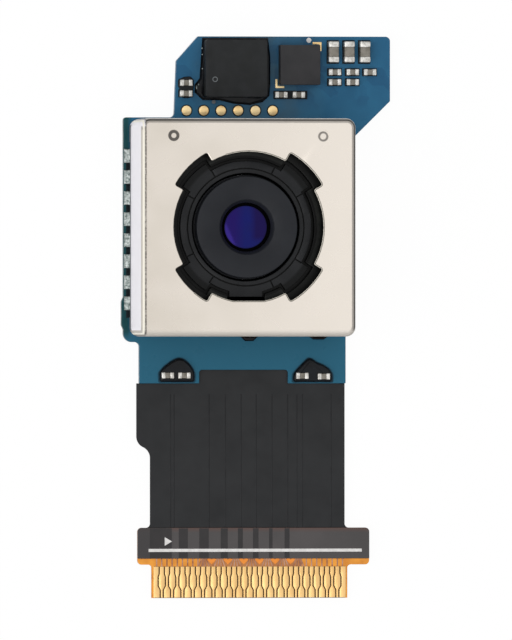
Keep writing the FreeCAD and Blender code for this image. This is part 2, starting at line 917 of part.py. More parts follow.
def shield_can():
    piece = Piece("shield_can")
    outer = [(-can_west, -can_south), (can_east, -can_south),
             (can_east, can_north), (-can_west, can_north)]
    inner = [(-can_west_in, -can_south_in), (can_east_in, -can_south_in),
             (can_east_in, can_north_in), (-can_west_in, can_north_in)]
    piece.pad([Loop(outer)], board_top, can_top)
    piece.pocket([Loop(inner)], board_top, can_under)
    piece.round(upright_at(*inner), size.can_corner - size.can_wall)
    piece.round(upright_at(*outer), size.can_corner)
    piece.round(level_at(can_top), size.can_bend, "Chamfer")
    piece.pocket([lobed(opening_radius, lobe_radius, size.lobe_angle)], can_under, can_top)
    half_run = size.joint_pitch * (JOINT_COUNT - 1) / 2 + size.joint_long
    middle = size.joint_first - size.joint_pitch * (JOINT_COUNT - 1) / 2
    relief = rectangle(-can_west, -can_west_in, middle - half_run, middle + half_run)
    piece.pocket([relief], board_top, board_top + size.relief_high)
    north = can_north - size.dimple_down
    for east in (-can_west + size.dimple_side, can_east - size.dimple_side):
        rings = [polygon(radius, SMALL_SIDES, east, north)
                 for radius in (size.dimple_outer, size.dimple_inner)]
        piece.pocket(rings, can_top - size.dimple_deep, can_top)
    keep("shield_can", piece)


def terminal_joints():
    """Solder fillets from the coil board's terminals down to the rigid board."""
    piece = Piece("terminal_joints")
    west = -can_west - size.joint_reach
    east = -can_west_in + size.yoke_thick
    low, top = board_top, board_top + size.joint_high
    points = [
        (west, low), (east, low), (east, top),
        (-can_west, top - size.joint_shoulder), (west, low + size.joint_toe),
    ]
    south = size.joint_first - size.joint_pitch * (JOINT_COUNT - 1) - size.joint_long / 2
    joint = piece.pad([Loop(points)], south, south + size.joint_long, "XZ_Plane")
    piece.row(joint, "Y_Axis", size.joint_pitch, JOINT_COUNT)
    keep("terminal_joints", piece)


def actuator_housing():
    piece = Piece("actuator_housing")
    outer = rectangle(-coil_west, coil_east, -housing_south, coil_north)
    piece.pad([outer], board_top, housing_top)
    corner = size.coil_board_corner - size.coil_board_thick
    piece.round(upright_at((-coil_west, -housing_south), (coil_east, -housing_south),
                           (coil_east, coil_north), (-coil_west, coil_north)), corner)
    room = rectangle(-room_west, room_east, -room_south, room_north)
    piece.pocket([room], stop_top, housing_top)
    side = size.stop_side
    cross = Loop([
        (-room_west + side, -room_south), (room_east - side, -room_south),
        (room_east - side, -room_south + side), (room_east, -room_south + side),
        (room_east, room_north - side), (room_east - side, room_north - side),
        (room_east - side, room_north), (-room_west + side, room_north),
        (-room_west + side, room_north - side), (-room_west, room_north - side),
        (-room_west, -room_south + side), (-room_west + side, -room_south + side),
    ])
    piece.pocket([cross], board_top + size.flange_thick, stop_top)
    play = size.bracket_play * 2
    seat = middle_rectangle(bracket_long + play, bracket_wide + play)
    piece.pocket([seat], board_top, stop_top)
    window = racetrack(coil_centre, size.coil_reach, size.coil_outer + size.coil_window_play)
    piece.pocket([window], -coil_west, -room_west, "YZ_Plane")
    piece.pocket([window], room_east, coil_east, "YZ_Plane")
    piece.pocket([window], room_north, coil_north, "XZ_Plane")
    low = focus_ball_low - size.ball_radius - size.ball_end
    high = focus_ball_low + size.focus_ball_pitch + size.focus_stroke / 2 + size.ball_radius
    for north in (-size.focus_ball_side, size.focus_ball_side):
        groove = upright_groove(-room_west, north, -1)
        piece.pocket([groove], low, high + size.ball_end)
    keep("actuator_housing", piece)


def upright_groove(face, north, side):
    """V groove seen from above, cut into a wall whose face looks along X."""
    half = size.focus_gap / 2
    deep = groove_reach - half
    return Loop([(face, north - deep), (face, north + deep), (face + side * deep, north)])


def coil_board():
    """Bent flexible circuit that wraps the housing on three sides."""
    piece = Piece("coil_board")
    thick = size.coil_board_thick
    west = -coil_west - thick
    top = can_under
    south = -size.coil_board_south
    outer = rectangle(west, can_east_in, south, can_north_in)
    piece.pad([outer], board_top, top)
    inner = rectangle(-coil_west, coil_east, south, coil_north)
    piece.pocket([inner], board_top, top)
    piece.round(upright_at((-coil_west, coil_north), (coil_east, coil_north)),
                size.coil_board_corner - thick)
    piece.round(upright_at((west, can_north_in), (can_east_in, can_north_in)), size.coil_board_corner)
    keep("coil_board", piece)


def coils():
    """Three flat wound coils in the housing's windows, and the chip inside each."""
    thick = size.coil_thick
    rings = [racetrack(coil_centre, size.coil_reach, radius)
             for radius in (size.coil_outer, size.coil_inner)]
    spots = [
        ("focus_coil", -coil_west, "YZ_Plane"),
        ("shift_coil_east", coil_east - thick, "YZ_Plane"),
        ("shift_coil_north", coil_north - thick, "XZ_Plane"),
    ]
    for label, low, plane in spots:
        piece = Piece(label)
        piece.pad(rings, low, low + thick, plane)
        keep(label, piece)
    long, high, deep = size.coil_chip_long / 2, size.coil_chip_high / 2, size.coil_chip_thick
    low, top = coil_centre - high, coil_centre + high
    driver = block("focus_driver", -coil_west, -coil_west + deep, -long, long, low, top)
    keep("focus_driver", driver)
    east = block("sensor", coil_east - deep, coil_east, -long, long, low, top)
    north = block("sensor", -long, long, coil_north - deep, coil_north, low, top)
    keep("position_sensors", group("position_sensors", [east, north]))
    half = size.focus_yoke_long / 2
    rise = size.focus_yoke_high / 2
    yoke = block("focus_yoke", -can_west_in, -can_west_in + size.yoke_thick, -half, half,
                 coil_centre - rise, coil_centre + rise)
    keep("focus_yoke", yoke)


def deck_groove(piece, along, east, north, low, high):
    """V groove in a level face, as a wedge cut from low to high."""
    deep = groove_deep
    if along == "X":
        wedge = Loop([(north - deep, high), (north + deep, high), (north, low)])
        piece.pocket([wedge], east - groove_half, east + groove_half, "YZ_Plane")
    else:
        wedge = Loop([(east - deep, high), (east + deep, high), (east, low)])
        piece.pocket([wedge], north - groove_half, north + groove_half, "XZ_Plane")


def corners_of(east, north):
    return [(x * east, y * north) for x in (-1, 1) for y in (-1, 1)]


def focus_carrier():
    piece = Piece("focus_carrier")
    outer = rectangle(-carrier_west, carrier_east, -carrier_south, carrier_north)
    piece.pad([outer], carrier_low, carrier_top)
    wall, post = size.carrier_wall, size.post_side
    room = Loop([
        (-carrier_west + wall, -carrier_south + wall), (carrier_east, -carrier_south + wall),
        (carrier_east, carrier_north - post), (carrier_east - post, carrier_north - post),
        (carrier_east - post, carrier_north), (-carrier_west + wall, carrier_north),
    ])
    piece.pocket([room], carrier_deck, carrier_top)
    piece.pocket([Ring(0, 0, carrier_bore)], carrier_low, carrier_deck)
    half = size.focus_magnet_long / 2
    rise = size.focus_magnet_high / 2
    magnet = rectangle(-half, half, coil_centre - rise, coil_centre + rise)
    piece.pocket([magnet], -carrier_west, magnet_west + size.focus_magnet_thick, "YZ_Plane")
    for north in (-size.focus_ball_side, size.focus_ball_side):
        piece.pocket([upright_groove(-carrier_west, north, 1)], carrier_deck, carrier_top)
    for east, north in corners_of(ball_along, ball_line):
        deck_groove(piece, "X", east, north, carrier_deck - groove_deep, carrier_deck)
    keep("focus_carrier", piece)


def magnets():
    half = size.focus_magnet_long / 2
    rise = size.focus_magnet_high / 2
    focus = block("focus_magnet", magnet_west, magnet_west + size.focus_magnet_thick,
                  -half, half, coil_centre - rise, coil_centre + rise)
    keep("focus_magnet", focus)
    half = size.shift_magnet_long / 2
    low = magnet_low
    top = low + size.shift_magnet_high
    back = size.magnet_back_thick
    thick = size.shift_magnet_thick
    east, north = holder_east, holder_north
    backs = [
        block("back", east, east + back, -half, half, low, top),
        block("back", -half, half, north, north + back, low, top),
    ]
    keep("magnet_backs", group("magnet_backs", backs))
    blocks = [
        block("magnet", east + back, east + back + thick, -half, half, low, top),
        block("magnet", -half, half, north + back, north + back + thick, low, top),
    ]
    keep("shift_magnets", group("shift_magnets", blocks))
    half = size.shift_yoke_long / 2
    wide = size.shift_yoke_wide
    high = carrier_deck + size.shift_yoke_thick
    plates = [
        block("yoke", east + back, east + back + wide, -half, half, carrier_deck, high),
        block("yoke", -half, half, north + back, north + back + wide, carrier_deck, high),
    ]
    keep("shift_yokes", group("shift_yokes", plates))


def ball_set(label, spots, *heights):
    """Balls at the same spots on one or more levels, each a square form bevelled all round."""
    piece = Piece(label)
    radius = size.ball_radius
    for height in heights:
        squares = [rectangle(x - radius, x + radius, y - radius, y + radius) for x, y in spots]
        piece.pad(squares, height - radius, height + radius)
    piece.round(lambda edge: True, radius * (2 - math.sqrt(2)), "Chamfer")
    keep(label, piece)


def balls():
    middle = -room_west + size.focus_gap / 2
    sides = [(middle, side * size.focus_ball_side) for side in (-1, 1)]
    ball_set("focus_balls", sides, focus_ball_low, focus_ball_low + size.focus_ball_pitch)
    ball_set("lower_balls", corners_of(ball_along, ball_line), carrier_deck + size.ball_stand)
    ball_set("upper_balls", corners_of(ball_line, ball_along), frame_top + size.ball_stand)


def shift_frame():
    piece = Piece("shift_frame")
    half = holder_half
    piece.pad([rectangle(-half, half, -half, half)], frame_low, frame_top)
    piece.round(upright_at(*corners_of(half, half)), size.frame_corner)
    piece.pocket([Ring(0, 0, frame_bore)], frame_low, frame_top)
    for east, north in corners_of(ball_along, ball_line):
        deck_groove(piece, "X", east, north, frame_low + groove_deep, frame_low)
    for east, north in corners_of(ball_line, ball_along):
        deck_groove(piece, "Y", east, north, frame_top - groove_deep, frame_top)
    keep("shift_frame", piece)


def lens_holder():
    piece = Piece("lens_holder")
    half = holder_half
    body = rectangle(-half, holder_east, -half, holder_north)
    piece.pad([body], holder_low, holder_top)
    piece.round(upright_at((-half, -half), (holder_east, -half),
                           (holder_east, holder_north), (-half, holder_north)),
                size.holder_corner)
    piece.pad([holder_top_outline()], holder_top, ring_top)
    arm_scoops(piece)
    piece.pocket([Ring(0, 0, holder_bore)], holder_low, ring_top)
    half_seam = size.seam_wide / 2
    seam = [Ring(0, 0, ring_seam + half_seam), Ring(0, 0, ring_seam - half_seam)]
    piece.pocket(seam, ring_top - size.seam_deep, ring_top)
    cuts = [radial_seam(angle) for angle in RADIAL_SEAMS]
    piece.pocket(cuts, ring_top - size.seam_deep, ring_top)
    for east, north in corners_of(ball_line, ball_along):
        deck_groove(piece, "Y", east, north, holder_low + groove_deep, holder_low)
    keep("lens_holder", piece)


def radial_seam(angle):
    """Narrow strip that runs outward across the ring from its round seam."""
    half = size.seam_wide / 2
    corners = [
        (ring_seam, -half), (ring_outer + half, -half),
        (ring_outer + half, half), (ring_seam, half),
    ]
    along, across = cosine(angle), sine(angle)
    return Loop([(x * along - y * across, x * across + y * along) for x, y in corners])


def holder_top_outline():
    """Ring on top of the holder with four corner arms and a south tab."""
    return lobed(ring_outer, arm_outer, size.arm_angle, (size.tab_half, tab_south))


def arm_scoops(piece):
    """Slope the tops of the four arms down and outward."""
    reach = arm_outer + 1
    start = ring_seam
    wedge = Loop([(start, ring_top), (reach, ring_top), (reach, ring_top - size.arm_drop * 2)])
    sketch = piece.sketch("XZ_Plane", 0, [wedge])
    item = piece.body.newObject("PartDesign::Groove", "Groove")
    item.Profile = sketch
    item.ReferenceAxis = (sketch, ["V_Axis"])
    item.Midplane = True
    bind(item, "Angle", size.arm_angle * 2)
    piece.body.Tip = item


def stopper_frame():
    piece = Piece("stopper_frame")
    outer = rectangle(-carrier_west, carrier_east, -carrier_south, carrier_north)
    piece.pad([outer], carrier_top, stopper_top)
    notch = (size.tab_half + size.tab_play, tab_south + size.tab_play)
    opening = lobed(stopper_opening, stopper_lobe, size.stopper_lobe_angle, notch)
    piece.pocket([opening], carrier_top, stopper_top)
    keep("stopper_frame", piece)


def cap_radius(chord, rise):
    """Radius of the sphere whose cap has this half chord and rise."""
    return (chord * chord + rise * rise) / (rise * 2)


def front_lens(name):
    """Lens with a flat rim and two spherical faces, turned round the axis."""
    top, low = levels[name]
    rim, clear = rims[name], clears[name]
    rise, hollow = size.lens(name, "rise"), size.lens(name, "hollow")
    points = [(0, low + hollow), (clear, low), (rim, low), (rim, top), (clear, top), (0, top + rise)]
    piece = Piece(name)
    piece.turn(Loop(points, {0: -cap_radius(clear, hollow), 4: cap_radius(clear, rise)}))
    keep(name, piece)


def inner_lens(ahead, name):
    """Many-sided lens: a flat rim, and a bevelled crown or hollow on each face.

    A raised crown is no wider than the hollow of the lens ahead.
    """
    top, low = levels[name]
    rise, hollow = size.lens(name, "rise"), size.lens(name, "hollow")
    crown = [polygon(clears[name] * size.lens_crown, LARGE_SIDES)]
    raised = [polygon(clears[ahead] * size.lens_crown, LARGE_SIDES)]
    piece = Piece(name)
    piece.pad([polygon(rims[name], LARGE_SIDES)], low, top)
    if rise.value > 0:
        piece.pad(raised, top, top + rise)
        piece.round(level_at(top + rise), rise * size.lens_bevel, "Chamfer")
    else:
        piece.pocket(crown, top + rise, top)
        piece.round(level_at(top + rise), -rise * size.lens_bevel, "Chamfer")
    if hollow.value > 0:
        piece.pocket(crown, low, low + hollow)
        piece.round(level_at(low + hollow), hollow * size.lens_bevel, "Chamfer")
    else:
        piece.pad(crown, low + hollow, low)
        piece.round(level_at(low + hollow), -hollow * size.lens_bevel, "Chamfer")
    keep(name, piece)


def lenses():
    """Six moulded lenses, from the front backward."""
    front_lens(LENS_NAMES[0])
    for ahead, name in zip(LENS_NAMES, LENS_NAMES[1:]):
        inner_lens(ahead, name)


def baffles():
    """Thin black rings between neighbouring lenses."""
    rings = []
    for name, behind in zip(LENS_NAMES, LENS_NAMES[1:]):
        piece = Piece("baffle")
        outlines = [polygon(rims[name], SMALL_SIDES), polygon(clears[behind], SMALL_SIDES)]
        piece.pad(outlines, levels[behind][0], levels[name][1])
        rings.append(piece.body)
    keep("light_baffles", group("light_baffles", rings))


def lens_barrel():
    """Stepped tube: each step holds one lens, and the widest step is at the back."""
    chamfer = size.barrel_chamfer
    front, nose, outer = barrel_front, barrel_nose, barrel_outer
    land = aperture_seat + size.aperture_land
    points = [
        (aperture_wall + size.aperture_flare, front),
        (aperture_wall, front - size.aperture_bevel), (aperture_wall, land),
        (size.aperture_inner, land), (size.aperture_inner, aperture_seat),
    ]
    top = aperture_seat
    for name in LENS_NAMES:
        bore = rims[name] + size.lens_fit
        points.append((bore, top))
        top = levels[name][1] - size.baffle_thick
        points.append((bore, top))
    points[-1] = (points[-1][0], barrel_back)
    points += [
        (outer, barrel_back), (outer, nose_low), (nose, nose_low),
        (nose, front - chamfer), (nose - chamfer, front),
    ]
    piece = Piece("lens_barrel")
    piece.turn(Loop(points))
    keep("lens_barrel", piece)
    last = LENS_NAMES[-1]
    ring = Piece("lens_lock_ring")
    outlines = [polygon(rims[last], LARGE_SIDES), polygon(rims[last] - size.lock_wide, LARGE_SIDES)]
    ring.pad(outlines, barrel_back, levels[last][1])
    keep("lens_lock_ring", ring)


def tail_outline():
    """Outline shared by the flexible circuit and the stiffener, from the head down."""
    return [
        (head_east, -head_south), (size.tail_east, -head_south),
        (size.tail_east, -tail_south), (-size.tail_west, -tail_south),
        (-size.tail_west, -head_south), (-head_west, -head_south),
        (-head_west, -head_north),
    ]


def round_head(piece):
    piece.round(upright_at((head_east, -head_south), (-head_west, -head_south),
                           (-head_west, -head_north), (head_east, -head_north)),
                size.head_corner)
    piece.round(upright_at((size.tail_east, -head_south), (-size.tail_west, -head_south)),
                size.ear_corner)


def flex_cable():
    piece = Piece("flex_cable")
    across = (flex_west - flex_narrow) / 2
    down = (turn_end - turn_start) / 2
    bend = (across * across + down * down) / (across * 2)
    halfway = (-flex_west + across, -turn_start - down)
    points = [
        (-flex_narrow, -head_north), (-flex_narrow, -turn_end), halfway,
        (-flex_west, -turn_start), (-flex_west, -leg_south),
        (-tongue_west, -leg_south), (-tongue_west, -tongue_north),
        (tongue_east, -tongue_north), (tongue_east, -leg_south),
        (flex_east, -leg_south), (flex_east, -head_north),
        (head_east, -head_north),
    ] + tail_outline()
    piece.pad([Loop(points, {1: bend, 2: -bend})], flex_low, flex_top)
    round_head(piece)
    piece.round(upright_at((-flex_narrow, -head_north), (flex_east, -head_north)),
                size.head_corner)
    keep("flex_cable", piece)
    piece = Piece("connector_stiffener")
    points = [(head_east, -head_north)] + tail_outline()
    piece.pad([Loop(points)], flex_low - size.stiffener_thick, flex_low)
    round_head(piece)
    keep("connector_stiffener", piece)


def connector_cover():
    piece = Piece("connector_cover")
    outline = rectangle(-head_west, head_east, -cover_south, -head_north)
    piece.pad([outline], flex_top, flex_top + size.cover_thick)
    piece.round(upright_at((-head_west, -head_north), (head_east, -head_north)),
                size.head_corner)
    keep("connector_cover", piece)


def finger_steps():
    """Distances south of the optical axis at which a contact's width changes."""
    steps = [head_south + size.finger_start]
    for length in (size.finger_neck, size.finger_slope, size.finger_flat, size.finger_taper):
        steps.append(steps[-1] + length)
    return steps + [tail_south - size.finger_foot]


def finger_widths(top, waist, foot):
    """Half widths that go with the steps."""
    return [top, top, waist, waist, foot, foot]


def finger(middle, halves):
    """One contact: half widths at its top, waist and foot."""
    pairs = list(zip(finger_widths(*halves), finger_steps()))
    west = [(middle - width, -step) for width, step in pairs]
    east = [(middle + width, -step) for width, step in pairs]
    return Loop(west + east[::-1])


def end_finger(edge, middle, side, halves):
    """First or last contact, straight on its outer side."""
    steps = finger_steps()
    inner = [(middle + side * width, -step) for width, step in zip(finger_widths(*halves), steps)]
    return Loop([(edge, -steps[0])] + inner + [(edge, -steps[-1])])


def contact_fingers():
    """Gold contacts in two staggered rows: near ones are wide at the waist, far ones at the foot."""
    top, high = (size.finger_pitch - size.finger_gap) / 2, flex_top + size.finger_thick
    wide = size.finger_wide / 2
    narrow = size.finger_pitch - size.finger_gap - wide
    near, far = [top, wide, narrow], [top, narrow, wide]
    centre = (size.tail_east - size.tail_west) / 2
    first = centre - size.finger_pitch * (NEAR_FINGER_COUNT - 1)
    last = centre + size.finger_pitch * (NEAR_FINGER_COUNT - 1)
    piece = Piece("contact_fingers")
    pair = size.finger_pitch * 2
    pad = piece.pad([finger(first, near)], flex_top, high)
    piece.row(pad, "X_Axis", pair, NEAR_FINGER_COUNT)
    pad = piece.pad([finger(first + size.finger_pitch, far)], flex_top, high)
    piece.row(pad, "X_Axis", pair, FAR_FINGER_COUNT)
    border = size.finger_border
    west = end_finger(-size.tail_west + border, first - size.finger_pitch, 1, far)
    east = end_finger(size.tail_east - border, last + size.finger_pitch, -1, far)
    piece.pad([west, east], flex_top, high)
    keep("contact_fingers", piece)


def board_marks():
    """Round test pads and the two corner marks of the smaller chip."""
    pads = []
    for index in range(PAD_COUNT):
        pad = doc.addObject("Part::Prism", "pad")
        pad.Polygon = SMALL_SIDES
        bind(pad, "Circumradius", size.pad_radius)
        bind(pad, "Height", size.pad_thick)
        place(pad, size.pad_pitch * index - size.pad_west, can_north + size.pad_up, board_top)
        pads.append(pad)
    keep("test_pads", group("test_pads", pads))
    piece = Piece("corner_marks")
    loops = []
    for side in (-1, 1):
        east = size.gyro_east + side * (size.gyro_long / 2 + size.mark_gap)
        north = gyro_north + side * (size.gyro_wide / 2 + size.mark_gap)
        long, wide = size.mark_long * side, size.mark_wide * side
        loops.append(Loop([
            (east, north), (east - long, north), (east - long, north - wide),
            (east - wide, north - wide), (east - wide, north - long), (east, north - long),
        ]))
    piece.pad(loops, board_top, board_top + size.mark_thick)
    keep("corner_marks", piece)


def chips():
    long, wide = size.controller_long / 2, size.controller_wide / 2
    east, north = -size.controller_west, board_north - size.controller_down
    top = board_top + size.controller_high
    chip = block("controller_chip", east - long, east + long, north - wide, north + wide, board_top, top)
    keep("controller_chip", chip)
    piece = Piece("controller_underfill")
    high = board_top + size.underfill_high
    outline = [(east + long * across, north + wide * along) for across, along in UNDERFILL]
    piece.pad([Loop(outline)], board_top, high)
    piece.round(level_at(high), size.underfill_slope, "Chamfer")
    hole = rectangle(east - long, east + long, north - wide, north + wide)
    piece.pocket([hole], board_top, high)
    keep("controller_underfill", piece)
    long, wide = size.gyro_long / 2, size.gyro_wide / 2
    east, north = size.gyro_east, gyro_north
    top = board_top + size.gyro_high
    chip = block("gyro_chip", east - long, east + long, north - wide, north + wide, board_top, top)
    keep("gyro_chip", chip)


def capacitor(spot, long, wide, end, turned):
    """Ceramic block between its two plated ends, which stand out a little; all on the board."""
    east, north = spot
    half, side, skin = long / 2, wide / 2, size.cap_plating

    def brick(label, start, stop, shrink):
        low, high = board_top + shrink, board_top + wide - shrink
        if turned:
            return block(label, east - side + shrink, east + side - shrink,
                         north + start, north + stop, low, high)
        return block(label, east + start, east + stop,
                     north - side + shrink, north + side - shrink, low, high)

    ceramic = brick("ceramic", -half + end, half - end, skin)
    ends = [brick("end", -half, -half + end, Size.of(0)), brick("end", half - end, half, Size.of(0))]
    return ceramic, ends


def large_spots():
    """Centres of the large capacitors, which stand in a row across the board."""
    return [(Size.of(east), board_north - down) for east, down in LARGE_CAPS]


def small_spots():
    north = [(Size.of(east), board_north - down) for east, down in NORTH_CAPS]
    return north + south_spots()


def south_spots():
    """Centres of the small capacitors that stand in the coats."""
    return [(Size.of(east), -leg_south + up) for east, up in SOUTH_CAPS]


def capacitors():
    kinds = [
        ("large", large_spots(), size.large_cap_long, size.large_cap_wide, size.large_cap_end, True),
        ("small", small_spots(), size.small_cap_long, size.small_cap_wide, size.small_cap_end, False),
    ]
    for kind, spots, long, wide, end, turned in kinds:
        ceramics, plated = [], []
        for spot in spots:
            ceramic, ends = capacitor(spot, long, wide, end, turned)
            ceramics.append(ceramic)
            plated += ends
        keep(kind + "_capacitors", group(kind + "_capacitors", ceramics))
        keep(kind + "_capacitor_ends", group(kind + "_capacitor_ends", plated))


def coats():
    """Black resin round the capacitors at the board's south edge; they stand through it."""
    piece = Piece("capacitor_coats")
    high = board_top + size.coat_high
    outlines = [Loop([(east, -leg_south + up) for east, up in outline]) for outline in COATS]
    piece.pad(outlines, board_top, high)
    piece.round(level_at(high), size.coat_slope, "Chamfer")
    half, side = size.small_cap_long / 2, size.small_cap_wide / 2
    holes = [rectangle(x - half, x + half, y - side, y + side) for x, y in south_spots()]
    piece.pocket(holes, board_top, high)
    keep("capacitor_coats", piece)


def adhesive_beads():
    """Dark resin that shows below the can's south edge."""
    piece = Piece("adhesive_beads")
    high = board_top + size.bead_high
    outlines = []
    for east, half, tip, reach in BEADS:
        near, far = -can_south, -can_south - reach
        outlines.append(Loop([
            (east - half, near), (east - tip, far), (east + tip, far), (east + half, near)]))
    piece.pad(outlines, board_top, high)
    piece.round(level_at(high), size.bead_slope, "Chamfer")
    keep("adhesive_beads", piece)


def build():
    back_plate()
    rigid_board()
    sensor_stack()
    bond_wires()
    shield_can()
    terminal_joints()
    actuator_housing()
    coil_board()
    coils()
    focus_carrier()
    magnets()
    balls()
    shift_frame()
    lens_holder()
    stopper_frame()
    lenses()
    baffles()
    lens_barrel()
    flex_cable()
    connector_cover()
    contact_fingers()
    board_marks()
    chips()
    capacitors()
    coats()
    adhesive_beads()
    doc.recompute()


def check():
    """Stop if any object failed, any cut removed nothing, or any piece isn't sound."""
    for item in doc.Objects:
        if "Invalid" in item.State or "Error" in item.State:
            raise ValueError(item.Label + " failed: " + str(item.State))
        if item.TypeId in ("PartDesign::Pocket", "PartDesign::Groove"):
            before = item.BaseFeature.Shape.Volume
            if item.Shape.Volume > before - LEAST_CUT:
                raise ValueError(item.Name + " of " + item.getParent().Label + " cut nothing")
    for label, item in nodes.items():
        if item.Shape.isNull() or not item.Shape.isValid():
            raise ValueError(label + " isn't sound")


def write():
    os.makedirs("parts", exist_ok=True)
    for label, item in nodes.items():
        item.Shape.exportStep("parts/" + label + ".step")
        box = item.Shape.BoundBox
        print("%-22s solids %3d  volume %9.4f  x %.2f..%.2f  y %.2f..%.2f  z %.2f..%.2f" % (
            label, len(item.Shape.Solids), item.Shape.Volume,
            box.XMin, box.XMax, box.YMin, box.YMax, box.ZMin, box.ZMax))


build()
check()
write()
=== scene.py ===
"""Looks of the camera module: finishes, refined pieces, printed marks, light and camera."""
import json
import logging
import math
from collections.abc import Callable, Iterable, Sequence
from dataclasses import dataclass, field, replace
from enum import Enum

import bmesh
import bpy
from mathutils import Matrix, Vector


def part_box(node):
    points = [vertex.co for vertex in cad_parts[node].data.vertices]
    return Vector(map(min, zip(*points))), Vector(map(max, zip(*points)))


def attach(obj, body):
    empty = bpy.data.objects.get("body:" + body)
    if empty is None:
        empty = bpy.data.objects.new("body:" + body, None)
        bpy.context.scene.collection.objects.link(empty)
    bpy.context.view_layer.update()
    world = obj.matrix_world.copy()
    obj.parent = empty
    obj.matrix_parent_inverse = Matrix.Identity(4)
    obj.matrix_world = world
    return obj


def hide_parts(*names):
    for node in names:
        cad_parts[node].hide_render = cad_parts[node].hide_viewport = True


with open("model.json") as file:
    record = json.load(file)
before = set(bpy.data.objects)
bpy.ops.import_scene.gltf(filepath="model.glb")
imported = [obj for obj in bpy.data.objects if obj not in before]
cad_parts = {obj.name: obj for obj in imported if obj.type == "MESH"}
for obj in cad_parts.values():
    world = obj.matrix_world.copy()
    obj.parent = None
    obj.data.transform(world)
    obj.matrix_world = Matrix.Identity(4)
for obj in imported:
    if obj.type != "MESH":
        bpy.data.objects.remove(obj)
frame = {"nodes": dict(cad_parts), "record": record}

MM = 0.001
SUNK = 0.02  # how deep trim is sunk into what carries it, in millimetres
LOG = logging.getLogger("camera_module")

Socket = bpy.types.NodeSocket
Tree = bpy.types.NodeTree
Mesh = bmesh.types.BMesh
Edge = bmesh.types.BMEdge
Node = bpy.types.Node
Point = tuple[float, float]
Triple = tuple[float, float, float]
Span = tuple[float, float]  # where a change of colour starts and ends
Line = Triple  # middle of a painted line, its half width and its share


class Body(Enum):
    """Moving groups of the module, named as in its record."""

    MODULE = "module"
    CARRIER = "focus_carrier"
    LENS = "lens_group"


# Colours and nodes

def linear(code: str) -> tuple[float, float, float, float]:
    """Turn an sRGB hex colour into the linear colour that shaders take.

    Args:
        code: Six hex digits.

    Returns:
        Linear red, green and blue, and an alpha of one.
    """
    parts = [int(code[start:start + 2], 16) / 255 for start in (0, 2, 4)]
    red, green, blue = [part / 12.92 if part <= 0.04045 else ((part + 0.055) / 1.055) ** 2.4
                        for part in parts]
    return (red, green, blue, 1.0)


@dataclass
class Nodes:
    """Adds nodes to one node tree."""

    tree: Tree

    def add(self, kind: str, inputs: dict[str | int, object] | None = None,
            **settings: object) -> Node:
        """Add a node with its settings and links.

        Args:
            kind: Node type, without its ShaderNode prefix.
            inputs: Values or other nodes' sockets, by input name or place.
            **settings: The node's own properties.

        Returns:
            The new node.
        """
        node = self.tree.nodes.new("ShaderNode" + kind)
        for name, value in settings.items():
            setattr(node, name, value)
        for name, value in (inputs or {}).items():
            if isinstance(value, Socket):
                self.tree.links.new(value, node.inputs[name])
            else:
                node.inputs[name].default_value = value
        return node

    def math(self, kind: str, *values: object) -> Socket:
        """Reckon with numbers, each a value or another node's socket."""
        return self.add("Math", dict(enumerate(values)), operation=kind).outputs[0]

    def vector(self, kind: str, *values: object) -> Node:
        """Reckon with vectors, each a value or another node's socket."""
        return self.add("VectorMath", dict(enumerate(values)), operation=kind)

    def times(self, first: Socket, second: object) -> Socket:
        """Multiply two shares."""
        return self.math("MULTIPLY", first, second)

    def scale(self, value: Socket, low: float, high: float, start: float = 0.0,
              end: float = 1.0) -> Socket:
        """Map a value between two levels onto another range, clamped."""
        return self.add("MapRange", {"Value": value, "From Min": low, "From Max": high,
                                     "To Min": start, "To Max": end}).outputs[0]

    def over(self, share: Socket, below: str | Socket, above: str | Socket) -> Socket:
        """Lay a colour over another by a share, each sRGB hex or another node's socket."""
        first, second = [linear(part) if isinstance(part, str) else part for part in (below, above)]
        return self.add("Mix", {0: share, 6: first, 7: second}, data_type="RGBA").outputs[2]


@dataclass
class Brush(Nodes):
    """Paints by the place on the object, with its levels in millimetres."""

    where: Socket
    x: Socket = field(init=False)
    y: Socket = field(init=False)
    z: Socket = field(init=False)

    def __post_init__(self) -> None:
        """Split the place into its axes."""
        self.x, self.y, self.z = self.add("SeparateXYZ", {0: self.where}).outputs[:]

    def ramp(self, length: Socket, low: float, high: float, start: float = 0.0,
             end: float = 1.0) -> Socket:
        """Map a length between two levels onto another range, clamped."""
        return self.scale(length, low * MM, high * MM, start, end)

    def below(self, length: Socket, level: float, soft: float) -> Socket:
        """Share that is one below a level."""
        return self.ramp(length, level + soft, level - soft)

    def off(self, length: Socket, level: float) -> Socket:
        """How far a length is from a level."""
        return self.math("ABSOLUTE", self.math("SUBTRACT", length, level * MM))

    def line(self, length: Socket, level: float, half: float, share: float) -> Socket:
        """Share that falls off softly on both sides of a level."""
        soft = 0.02
        return self.ramp(self.off(length, level), half + soft, max(half - soft, 0.0), 0.0, share)

    def flat(self) -> Socket:
        """The place without its height."""
        return self.add("CombineXYZ", {0: self.x, 1: self.y}).outputs[0]

    @property
    def side(self) -> Socket:
        """How far the place is from the middle plane."""
        return self.off(self.x, 0.0)

    @property
    def reach(self) -> Socket:
        """How far the place is from the optical axis."""
        return self.vector("LENGTH", self.flat()).outputs["Value"]

    def noise(self, size: float, detail: float = 2.0) -> Socket:
        """Noise whose blotches are about the given size."""
        return self.add("TexNoise", {"Vector": self.where, "Scale": 1 / (size * MM),
                                     "Detail": detail}).outputs[0]

    def clouds(self, size: float, first: str, second: str) -> Socket:
        """Cloud one colour with another."""
        return self.over(self.scale(self.noise(size), 0.35, 0.65), first, second)


def nodes_of(owner: bpy.types.Material | bpy.types.World) -> Nodes:
    """Give a new material or world its own nodes, with none in them yet."""
    owner.use_nodes = True
    owner.node_tree.nodes.clear()
    return Nodes(owner.node_tree)


# Finishes

